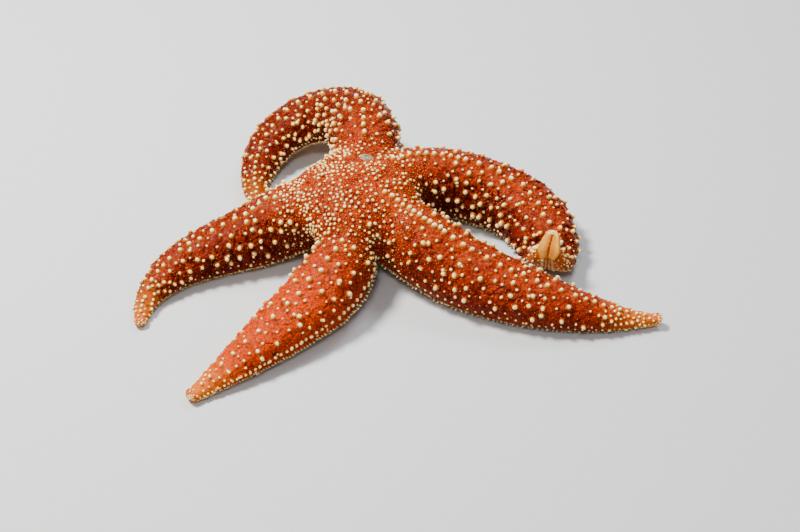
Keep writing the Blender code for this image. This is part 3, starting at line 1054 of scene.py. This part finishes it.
colours = {
    "brick": (0.175, 0.0100, 0.0015),
    "ember": (0.330, 0.0250, 0.0020),
    "salmon": (0.470, 0.0480, 0.0040),
    "crestSheen": (0.540, 0.0640, 0.0040),
    "maroon": (0.060, 0.0012, 0.0005),
    "creaseShade": (0.022, 0.0006, 0.0004),
    "amber": (0.520, 0.0410, 0.0001),
    "bruise": (0.085, 0.0110, 0.0080),
    "apricot": (0.720, 0.1700, 0.0040),
    "honey": (0.860, 0.4000, 0.0500),
    "cream": (0.980, 0.7600, 0.2700),
    "ivory": (1.000, 0.9200, 0.4800),
    "oral": (0.620, 0.1700, 0.0200),
    "comb": (0.780, 0.3400, 0.0300),
    "combMiddle": (0.620, 0.1900, 0.0100),
    "footStem": (0.500, 0.1000, 0.0150),
    "footDisc": (0.800, 0.4200, 0.1300),
    "eyeDark": (0.350, 0.0100, 0.0100),
    "eyeRed": (0.600, 0.0300, 0.0100),
    "sieveDark": (0.070, 0.0550, 0.0350),
    "sievePale": (0.660, 0.4500, 0.1500),
    "sieveGrey": (0.130, 0.1200, 0.1000),
    "sieveGrooveShade": (0.020, 0.0160, 0.0130),
    "lipDark": (0.250, 0.0300, 0.0080),
    "lipPale": (0.600, 0.1800, 0.0400),
}
calcite = {"Specular IOR Level": 0.35}  # the sheen of limy parts


# The colour of the skin, which the roots of the spines share, with painted highlights, sheen and shade
# in it.
def skinColour(finish):
    patches = finish.clouds(9 * mm, 2).step(0.40, 0.62)
    mottle = finish.clouds(1.8 * mm, 4, 0.65)
    colour = finish.mix("brick", "ember", patches * 0.5 + mottle.step(0.38, 0.56) * 0.5)
    # onTop is 1 on the top and fades down the flanks: the top is painted lighter, as painted
    # highlights.
    onTop = 1 - finish.field("turn") * 1.3
    dots = finish.cells(1.0 * mm)
    # Patches of painted sheen on the top.
    lights = finish.clouds(1.5 * mm, 3, 0.6).step(0.50, 0.66) * onTop
    # A painted sheen along the top of each arm, in patches.
    crestSheen = (1 - finish.field("turn").step(0.06, 0.24)) * finish.clouds(4 * mm, 3).step(0.42, 0.62)
    gold = finish.field("amber") * (finish.clouds(6 * mm, 3).step(0.22, 0.55) * 0.4 + 0.6)
    shades = 1 - finish.clouds(1.1 * mm, 3, 0.6).step(0.36, 0.47)
    bruises = finish.field("bruise") * finish.clouds(5 * mm, 4).step(0.46, 0.60)
    for layer, share in (
        ("salmon", lights * 0.8),
        # A fine pattern of cells: lighter centres on the top as painted highlights, darker rims as
        # painted shade in the crevices.
        ("salmon", (1 - dots.step(0.10, 0.36)) * onTop * 0.45),
        ("crestSheen", crestSheen * 0.5),
        ("amber", gold),
        ("maroon", shades * (0.55 - 0.25 * finish.field("amber"))),
        ("maroon", dots.step(0.42, 0.72) * 0.5),
        # Painted shade on the flanks, and on the arms that are lit less.
        ("maroon", finish.field("paintedShade")),
        ("apricot", finish.field("share").step(0.78, 1.0) * 0.6),
        ("bruise", bruises),
    ):
        colour = finish.mix(colour, layer, share)
    sole = finish.mix("oral", "salmon", mottle.step(0.40, 0.66) * 0.7)
    return finish.mix(colour, sole, finish.field("turn").step(0.74, 0.86))


def skinFinish():
    finish = Finish("skin_wet")
    # Painted shade darkens the furrows and creases, with some random dark lines.
    creases = (finish.field("furrow") + finish.clouds(1.4 * mm, 3) * 0.6 - 0.3).step(0.22, 0.62)
    colour = finish.mix(skinColour(finish), "creaseShade", creases * 0.62)
    halo = finish.field("halo") + finish.clouds(0.9 * mm, 2) * 0.5 - 0.25
    colour = finish.mix(colour, "apricot", halo.step(0.30, 0.85) * 0.9)
    colour = finish.mix(colour, "honey", halo.step(0.62, 0.95) * 0.6)
    rough = finish.clouds(0.8 * mm, 3)
    height = rough * 0.6 + finish.cells(1.3 * mm) * 0.5 + finish.clouds(0.35 * mm, 2) * 0.35
    normal = finish.bump(height, 0.40 * mm, 0.8)
    return finish.dress(colour, rough * 0.14 + 0.03, normal, {"Specular IOR Level": 0.04})


def spineFinish():
    finish = Finish("spine_calcite")
    rise = finish.field("rise")
    top = finish.mix("cream", "ivory", finish.field("tone"))
    foot = finish.mix(skinColour(finish), "apricot", 0.45)
    colour = finish.mix(foot, "honey", rise.step(0.02, 0.40) * 0.8 + 0.1)
    colour = finish.mix(colour, top, rise.step(0.26, 0.74))
    grain = finish.clouds(0.3 * mm, 2)
    depth = {"Subsurface Weight": 0.15, "Subsurface Radius": (1.0, 0.5, 0.2),
             "Subsurface Scale": 0.6 * mm}
    roughness, normal = grain * 0.14 + 0.06, finish.bump(grain, 0.12 * mm, 0.5)
    return finish.dress(colour, roughness, normal, {**calcite, **depth})


# The combs are palest at their outer ends.
def combFinish():
    finish = Finish("comb_calcite")
    pale = finish.mix("comb", "honey", finish.field("tone"))
    colour = finish.mix(pale, "combMiddle", finish.field("rise").step(0.20, 0.80) * 0.85)
    colour = finish.mix(colour, "apricot", finish.field("rise").step(0.86, 1.0))
    grain = finish.clouds(0.4 * mm, 2)
    normal = finish.bump(grain, 0.1 * mm, 0.5)
    return finish.dress(colour, grain * 0.25 + 0.2, normal, {"Specular IOR Level": 0.12})


def granuleFinish():
    finish = Finish("granule_pale")
    pale = finish.mix("apricot", "honey", finish.field("tone"))
    colour = finish.mix(skinColour(finish), pale, finish.field("rise").step(0.05, 0.7))
    return finish.dress(colour, finish.clouds(0.3 * mm, 2) * 0.2 + 0.2, None, calcite)


def footFinish():
    finish = Finish("tube_foot")
    colour = finish.mix("footStem", "footDisc", finish.field("rise").step(0.2, 0.95))
    rings = finish.clouds(0.5 * mm, 2)
    colour = finish.mix(colour, "apricot", rings * 0.5)
    return finish.dress(colour, rings * 0.2 + 0.2, finish.bump(rings, 0.15 * mm, 0.6))


def plateFinish():
    finish = Finish("terminal_plate")
    grain = finish.clouds(0.7 * mm, 3)
    under = finish.mix("honey", "cream", grain.step(0.35, 0.62))
    colour = finish.mix(skinColour(finish), "amber", 0.3)
    colour = finish.mix(colour, under, finish.field("turn").step(0.55, 0.70))
    normal = finish.bump(grain + finish.cells(0.45 * mm), 0.2 * mm, 0.8)
    return finish.dress(colour, grain * 0.3 + 0.2, normal, {"Specular IOR Level": 0.15})


def eyeFinish():
    finish = Finish("eye_spot")
    colour = finish.mix("eyeDark", "eyeRed", finish.field("tone"))
    return finish.dress(colour, finish.clouds(0.2 * mm, 1) * 0.2 + 0.15)


def sieveFinish():
    finish = Finish("sieve_plate")
    grains = finish.clouds(0.65 * mm, 3, 0.65)
    colour = finish.mix("sieveDark", "sievePale", grains.step(0.40, 0.58))
    colour = finish.mix(colour, "sieveGrey", finish.clouds(2.2 * mm, 2).step(0.45, 0.62))
    # Painted shade in the grooves between the ridges.
    colour = finish.mix(colour, "sieveGrooveShade", finish.field("fold") * 0.7)
    return finish.dress(colour, grains * 0.3 + 0.35, finish.bump(grains, 0.3 * mm, 0.9))


def membraneFinish():
    finish = Finish("mouth_membrane")
    creases = finish.clouds(0.9 * mm, 3)
    colour = finish.mix("lipDark", "lipPale", creases.step(0.35, 0.65))
    return finish.dress(colour, creases * 0.25 + 0.15, finish.bump(creases, 0.3 * mm, 0.8))


skinPiece = newPiece("skin", skinMesh, skinFinish())
flesh = [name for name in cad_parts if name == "disc" or name.startswith("arm_")]
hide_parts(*flesh)

spineLook, combLook, granuleLook = spineFinish(), combFinish(), granuleFinish()
footLook, eyeLook = footFinish(), eyeFinish()
large, small, granules, studs = (seated(roots) for roots in (large, small, granules, studs))


def onArm(roots, arm):
    return roots[roots["arm"] == arm.index]


for arm in starArms:
    grow(f"spines_large_{arm.name}", onArm(large, arm), "large", spineLook, varied=True,
         uneven=largeSpine["uneven"])
    grow(f"spines_small_{arm.name}", onArm(small, arm), "small", spineLook, varied=True,
         uneven=smallSpine["uneven"])
    grow(f"granules_{arm.name}", onArm(granules, arm), "granule", granuleLook)
print("spines grown")


# The edge and the sole of each arm: even marginal spines, a pointed fringe, studs, the spines that
# lean over the foot groove, tube feet, and combs of flat spines that close the groove near the tip.

edge = {
    "from": 13 * mm,
    "sizeAtTip": 0.42,
    "fringeLength": 1.5 * mm,
    "lipGap": 0.95 * mm, "lipRadius": 0.32 * mm, "lipLength": 2.3 * mm, "lipFrom": 8 * mm,
    "footGap": 1.9 * mm, "footRadius": 0.62 * mm, "footRows": (0.30, 0.74), "footLean": 0.16,
    "combGap": 1.05 * mm, "combRadius": 0.60 * mm, "combLength": 13.5 * mm,
    "combReach": (0.80, 1.02),  # of the sole's width, under flat tips and curled ones
    "combLean": (0.42, 0.04),  # forward and down
    "combOpens": 6 * mm,  # they start narrow, and are at their full width after this
}


# Places at a spacing that shrinks as the arm narrows, on both sides.
def stations(arm, start, end, gap):
    for side in (-1, 1):
        distance = start
        while distance < end:
            share = float(arm.half(distance)) / (arm.shape["width"] / 2)
            scale = edge["sizeAtTip"] + (1 - edge["sizeAtTip"]) * share
            yield side, distance, scale
            distance += gap * scale * rng.uniform(0.88, 1.12)


def flankRow(arm, kind):
    gap, radius, wobble, turn = spineRows[arm.name][kind]
    roots, end = [], arm.length - body["eyePlate"]
    for side, distance, scale in stations(arm, 2 * edge["from"], end, gap * mm):
        angle = side * (math.radians(turn) + rng.normal(0, wobble))
        size = radius * mm * scale * rng.uniform(0.85, 1.12)
        roots.append(findRoot(reliefTree, arm, distance, angle, size))
    return collect(roots)


# The skin of the sole over a point, looking up from under it.
def soleRoot(arm, distance, across, radius, under=3 * mm, reach=16 * mm):
    start = Vector(arm.point(distance, across, -under))
    up = Vector(unit(arm.sample(arm.up, distance)))
    place, normal, _, _ = reliefTree.ray_cast(start, up, reach)
    angle = math.atan2(across / arm.half(distance), -1)
    return place and rootAt(arm, place, normal, distance, angle, radius)


def lipRow(arm):
    roots = []
    end = arm.length - edge["combLength"]
    for side, distance, scale in stations(arm, edge["lipFrom"], end, edge["lipGap"]):
        lip = body["grooveEdge"] * float(arm.half(distance)) + rng.uniform(0.3, 0.9) * mm
        roots.append(soleRoot(arm, distance, float(arm.shift(distance)) + side * lip,
                              edge["lipRadius"] * scale * rng.uniform(0.9, 1.1)))
    return collect(roots)


# Directions in an arm's own terms: outward to the root's side, down and forward.
def leaning(arm, roots, out, down, sway):
    right = arm.sample(arm.right, roots["along"]) * np.sign(roots["angle"])[:, None]
    up = arm.sample(arm.up, roots["along"])
    return unit(right * out - up * down + rng.normal(0, sway, (len(roots), 3)))


def tubeFeet(arm):
    roots, reaches = [], []
    end = arm.length - edge["combLength"]
    for row, share in enumerate(edge["footRows"]):
        start = edge["from"] * (0.7 + 0.1 * row)
        for side, distance, scale in stations(arm, start, end, edge["footGap"]):
            half = float(arm.half(distance))
            across = float(arm.shift(distance)) + side * share * body["grooveEdge"] * half
            depth = float(arm.groove(distance)) * vault(share)
            down = -arm.sample(arm.up, distance)
            for way in (arm.right, arm.forward):
                down = down + arm.sample(way, distance) * rng.normal(0, edge["footLean"])
            place = arm.point(distance, across, skinShape["soleGap"] + depth)
            angle = math.atan2(side * share * body["grooveEdge"], -1)
            radius = edge["footRadius"] * scale * rng.uniform(0.9, 1.1)
            roots.append(rootAt(arm, place, unit(down), distance, angle, radius))
            room = (depth + 0.5 * skinShape["soleGap"]) / (outlines["foot"]["tip"] * radius)
            reaches.append(room * rng.uniform(0.8, 1.0))
    return collect(roots), np.array(reaches)


def combs(arm):
    roots, ways, reaches = [], [], []
    start, end = arm.length - edge["combLength"], arm.length - body["eyePlate"]
    flatReach, curledReach = edge["combReach"]
    reach = curledReach if arm.shape["curl"][-1][1] > 90 else flatReach
    lean, droop = edge["combLean"]
    for side, distance, scale in stations(arm, start, end, edge["combGap"]):
        opened = min((distance - start) / edge["combOpens"], 1)
        widening = 0.45 + 0.55 * math.sin(opened * math.pi / 2)
        rim = body["soleEdge"] * reach * float(arm.half(distance)) * widening
        radius = edge["combRadius"] * (0.5 + 0.5 * scale)
        rise = 0.45 * min(skinShape["soleGap"], coatDepth(arm, distance))
        place = arm.point(distance, side * rim, rise)
        angle = math.atan2(side * body["soleEdge"], -1)
        roots.append(rootAt(arm, place, place, distance, angle, radius))
        ways.append(arm.sample(arm.right, distance) * -side - arm.sample(arm.up, distance) * droop
                    + arm.sample(arm.forward, distance) * lean)
        room = (rim + 0.1 * mm) / (outlines["spike"]["tip"] * radius)
        reaches.append(room * rng.uniform(0.94, 1.06))
    return collect(roots), np.array(ways), np.array(reaches)


for arm in starArms:
    grow(f"margin_{arm.name}", flankRow(arm, "margin"), "margin", spineLook, varied=True)
    fringe = flankRow(arm, "fringe")
    ways = leaning(arm, fringe, 0.9, 0.05, 0.14) + 0.4 * fringe["normal"]
    stretch = edge["fringeLength"] / (outlines["fringe"]["tip"] * spineRows[arm.name]["fringe"][1] * mm)
    grow(f"fringe_{arm.name}", fringe, "fringe", spineLook, ways=ways, stretch=stretch)
    grow(f"studs_{arm.name}", onArm(studs, arm), "margin", spineLook, varied=True)
    lip = lipRow(arm)
    stretch = edge["lipLength"] / (outlines["spike"]["tip"] * edge["lipRadius"])
    ways = leaning(arm, lip, -0.9, 0.28, 0.10)
    grow(f"groove_spines_{arm.name}", lip, "spike", spineLook, ways=ways, stretch=stretch)
    feet, reaches = tubeFeet(arm)
    grow(f"tube_feet_{arm.name}", feet, "foot", footLook, stretch=reaches)
    flat, ways, reaches = combs(arm)
    grow(f"combs_{arm.name}", flat, "spike", combLook, ways=ways, stretch=reaches)
print("edges and tube feet grown")


# The plate that ends each arm, with the red eye spot under it.

plate = {
    "length": 2.5 * mm,
    "rings": 12,
    "fullness": 0.80,  # its width over the arm's outline
    "roundness": 0.6,
    "lastTurn": 0.46,  # its last ring, of half a turn
    "gap": 0.12 * mm,  # above the arm's sole
    "knobs": 0.14 * mm,
    "knobSize": 0.7 * mm,
    "beads": 26,
    "beadRadius": (0.26 * mm, 0.46 * mm),
    "spotCount": 16,
    "spotRadius": 0.16 * mm,
    "spotFromTip": (1.0, 2.3), "spotSpread": 0.32,  # in millimetres
}


# A ring of the plate's outline, a quarter turn from its root to its apex.
def plateRing(arm, turn, across, rise):
    distance = arm.length - plate["length"] + (plate["length"] - 0.2 * mm) * math.sin(turn)
    swell = plate["fullness"] * math.cos(turn) ** plate["roundness"]
    half, height = arm.half(distance) * swell, arm.height(distance) * swell
    lift = plate["gap"] + (arm.height(distance) - height) * 0.42
    return arm.point(np.full(len(across), distance), across * half, lift + rise * height)


def plateMesh(arm):
    across, rise = skinOutline()
    count, loops = plate["rings"], len(across)
    turns = np.linspace(0, plate["lastTurn"] * math.pi, count)
    rows = np.array([plateRing(arm, turn, across, rise) for turn in turns])
    points = np.concatenate([rows.reshape(-1, 3), rows[[0, -1]].mean(1)])
    outward = unit(points - rows[0].mean(0))[loops:-2]
    knobs = plate["knobs"] * noiseAt(points[loops:-2], plate["knobSize"])
    points[loops:-2] += outward * knobs[:, None]
    mesh = meshFrom(f"terminal_{arm.name}", points, [tubeQuads(count, loops), endCaps(count, loops)])
    angle = np.append(np.tile(np.arctan2(across, rise - body["widestAt"]), count), [0, 0])
    setFields(mesh, bodyFields({"arm": np.full(len(points), arm.index), "angle": angle,
                                "along": np.full(len(points), arm.length)}))
    return mesh


def plateBeads(arm):
    across, rise = (values[:archPoints] for values in skinOutline())
    roots = []
    for index in range(plate["beads"]):
        turn = (0.10 + 0.32 * (index % 4) / 3) * math.pi
        ring = plateRing(arm, turn, across, rise)
        here = int(rng.integers(2, archPoints - 2))
        inside = ring.mean(0) - arm.sample(arm.forward, arm.length) * 1.2 * mm
        angle = math.atan2(across[here], rise[here] - body["widestAt"])
        roots.append(rootAt(arm, ring[here], unit(ring[here] - inside), arm.length, angle,
                            rng.uniform(*plate["beadRadius"])))
    return thinned(collect(roots), 0.9)


def eyeSpot(arm):
    roots = []
    for index in range(plate["spotCount"]):
        distance = arm.length - rng.uniform(*plate["spotFromTip"]) * mm
        place = arm.point(distance, rng.normal(0, plate["spotSpread"]) * mm, plate["gap"])
        down = -arm.sample(arm.up, distance)
        roots.append(rootAt(arm, place, down, distance, math.pi, plate["spotRadius"]))
    return collect(roots)


plateLook = plateFinish()
for arm in starArms:
    terminal = newPiece(f"terminal_{arm.name}", plateMesh(arm), plateLook)
    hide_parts(f"eye_plate_{arm.name}")
    grow(f"tip_beads_{arm.name}", plateBeads(arm), "small", spineLook, varied=True)
    grow(f"eye_spot_{arm.name}", eyeSpot(arm), "granule", eyeLook)
print("terminal plates made")


# The sieve plate beside the middle of the disc: a low grooved button.

sieve = {
    "radius": 3.9 * mm,
    "rings": 26,
    "turns": 96,
    "crown": 1.15 * mm,
    "sunkEdge": 0.5 * mm,
    "ridge": 0.32 * mm,
    "ridgeGap": 0.85 * mm,
    "swaySize": 1.6 * mm,  # of the ridges' bends
}


def sievePlate():
    place, normal, _, _ = reliefTree.find_nearest(sieveCentre)
    side = normal.orthogonal().normalized()
    other = normal.cross(side)
    radii = np.linspace(0, 1, sieve["rings"] + 1)[1:]
    turns = fullTurn(sieve["turns"])
    x = (radii[:, None] * np.cos(turns) * sieve["radius"]).ravel()
    y = (radii[:, None] * np.sin(turns) * sieve["radius"]).ravel()
    x, y = np.append(x, 0), np.append(y, 0)
    reach = np.hypot(x, y) / sieve["radius"]
    wavy = np.stack([x, y, 0 * x], 1)
    sway = np.stack([noiseAt(wavy, sieve["swaySize"]), noiseAt(wavy, sieve["swaySize"], 9.0), 0 * x], 1)
    wavy = wavy + 0.5 * sieve["ridgeGap"] * sway
    folds = 1 - np.clip(np.abs(noiseAt(wavy, sieve["ridgeGap"], 2.0)) * 3.5, 0, 1)
    height = sieve["crown"] * (1 - reach ** 2) - sieve["sunkEdge"] * ramp(reach, 0.86, 0.14)
    height = height - sieve["ridge"] * folds * (1 - ramp(reach, 0.9, 0.1))
    points = np.stack([x, y, height], 1) @ np.array([side, other, normal]) + np.array(place)
    quads = tubeQuads(sieve["rings"], sieve["turns"])
    mesh = meshFrom("sieve_plate", points, [quads, capFan(0, sieve["turns"], len(points) - 1, True)])
    # The grooves, which the finish darkens with painted shade.
    setFields(mesh, {"fold": folds})
    return mesh


sievePiece = newPiece("sieve_plate", sievePlate(), sieveFinish())
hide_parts("madreporite")


# The mouth: five pairs of jaw plates with stout spines, round a folded membrane.

mouth = {
    "membraneRadius": 7.5 * mm,
    "membraneHeight": 14.5 * mm,
    "membraneSink": 2.0 * mm,
    "opening": 1.3 * mm,
    "rings": 14, "turns": 120,
    "folds": 20,
    "foldDepth": 0.25 * mm,
    "jawReach": 6.4 * mm,  # the jaws' middle, from the mouth's
    "jawRadius": 0.95 * mm,
    "jawSpread": 1.05 * mm,
    "jawHeight": 11.2 * mm,
    "spines": 6,
    "spineRadius": 0.45 * mm,
}


def membraneMesh():
    rings, turns = mouth["rings"], mouth["turns"]
    radii = np.geomspace(mouth["opening"], mouth["membraneRadius"], rings)[:, None]
    turn = fullTurn(turns)[None]
    share = radii / mouth["membraneRadius"]
    rise = mouth["membraneHeight"] + mouth["membraneSink"] * (1 - share) ** 1.5
    rise = rise + mouth["foldDepth"] * np.sin(mouth["folds"] * turn) * (1 - share)
    grid = np.stack([radii * np.cos(turn), radii * np.sin(turn), rise], -1).reshape(-1, 3)
    lid = grid[:turns] * [0.6, 0.6, 1] + [0, 0, 1.5 * mm]
    peak = [[0, 0, mouth["membraneHeight"] + mouth["membraneSink"] + 2 * mm]]
    points = np.concatenate([lid, grid, peak]) + discCentre
    fans = capFan(0, turns, len(points) - 1, True)
    return meshFrom("mouth_membrane", points, [tubeQuads(rings + 1, turns), fans])


def jawRoots():
    jaws, spines, ways = [], [], []
    for arm in starArms:
        turn = math.radians(body["firstGroove"] + 360 / len(arms) * (arm.index + 0.5))
        inward = -np.array([math.cos(turn), math.sin(turn), 0])
        aside = np.array([-math.sin(turn), math.cos(turn), 0])
        middle = discCentre - inward * mouth["jawReach"] + np.array([0, 0, mouth["jawHeight"]])
        for side in (-1, 1):
            place = middle + aside * side * mouth["jawSpread"] - inward * 1.8 * mm
            jaws.append(rootAt(arm, place, inward, 0.0, math.pi, mouth["jawRadius"]))
        for number in range(mouth["spines"]):
            across = (number / (mouth["spines"] - 1) - 0.5) * 2
            place = middle + aside * across * 1.5 * mm + inward * (0.9 - 0.5 * abs(across)) * mm
            spines.append(rootAt(arm, place, inward, 0.0, math.pi, mouth["spineRadius"]))
            droop = np.array([0, 0, 0.45 + 0.15 * (number % 2)])
            ways.append(inward * 0.85 + aside * across * 0.35 - droop)
    return collect(jaws), collect(spines), np.array(ways)


membrane = newPiece("mouth_membrane", membraneMesh(), membraneFinish())
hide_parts("mouth_frame")
jaws, mouthSpines, ways = jawRoots()
grow("jaws", jaws, "jaw", spineLook)
grow("mouth_spines", mouthSpines, "spike", spineLook, ways=ways)
print("sieve plate and mouth made")


# Floor, light and camera.

studio = {
    "floor": ((0.52, 0.525, 0.53), (0.57, 0.57, 0.57)),
    "floorHalf": 3.0, "floorRoughness": 0.7,
    "sky": (0.85, 0.90, 1.0),
    "skyStrength": 0.30,
    "lens": 60,
    "sensor": 36,
    "lookDown": 42,  # degrees
    "distance": 600 * mm,  # to the top of the disc
    "discHeight": 39 * mm,
    "discLeft": 20.2 * mm,  # how far the disc is left of and above the middle of the view
    "discAbove": 41 * mm,
}

# "from" is the light's place round the disc: compass turn, height angle and distance.
lamps = {
    "key": {"from": (158, 58, 0.9), "size": 0.22, "power": 22.5, "colour": (1.0, 0.98, 0.95)},
    "back": {"from": (60, 50, 1.0), "size": 0.30, "power": 5.5, "colour": (0.95, 0.97, 1.0)},
    "front": {"from": (-100, 62, 1.0), "size": 0.24, "power": 3.2, "colour": (1.0, 0.97, 0.94)},
}


def makeFloor():
    points = np.array([[-1, -1, 0], [1, -1, 0], [1, 1, 0], [-1, 1, 0]]) * studio["floorHalf"]
    finish = Finish("floor_pale")
    floor = newObject("floor", meshFrom("floor", points, [np.array([[0, 1, 2, 3]])]))
    colour = finish.mix(*studio["floor"], finish.clouds(4 * mm, 2))
    floor.data.materials.append(finish.dress(colour, studio["floorRoughness"]))


def aimAt(thing, target):
    thing.rotation_euler = (Vector(target) - thing.location).to_track_quat("-Z", "Y").to_euler()


def makeLamps():
    middle = Vector((0, 0, 0.02))
    for name, lamp in lamps.items():
        turn, rise, reach = lamp["from"]
        turn, rise = math.radians(turn), math.radians(rise)
        light = bpy.data.lights.new(name, "AREA")
        light.shape = "DISK"
        light.size = lamp["size"]
        light.energy = lamp["power"]
        light.color = lamp["colour"]
        stand = newObject(name, light)
        stand.location = middle + reach * Vector(
            (math.cos(turn) * math.cos(rise), math.sin(turn) * math.cos(rise), math.sin(rise)))
        aimAt(stand, middle)
    world = bpy.data.worlds.new("studio")
    bpy.context.scene.world = world
    world.use_nodes = True
    sky = world.node_tree.nodes["Background"]
    sky.inputs["Color"].default_value = (*studio["sky"], 1)
    sky.inputs["Strength"].default_value = studio["skyStrength"]


# The camera looks down over the front arm, with the disc above and left of the middle of the view.
def makeCamera():
    tilt = math.radians(studio["lookDown"])
    ahead = Vector((0, math.cos(tilt), -math.sin(tilt)))
    up = Vector((0, math.sin(tilt), math.cos(tilt)))
    data = bpy.data.cameras.new("camera")
    data.lens = studio["lens"]
    data.sensor_width = studio["sensor"]
    camera = newObject("camera", data)
    top = Vector(discCentre) + Vector((0, 0, studio["discHeight"]))
    aside = Vector((1, 0, 0)) * studio["discLeft"] - up * studio["discAbove"]
    camera.location = top + aside - ahead * studio["distance"]
    camera.rotation_euler = (math.pi / 2 - tilt, 0, 0)
    bpy.context.scene.camera = camera


makeFloor()
makeLamps()
makeCamera()
print("studio set")
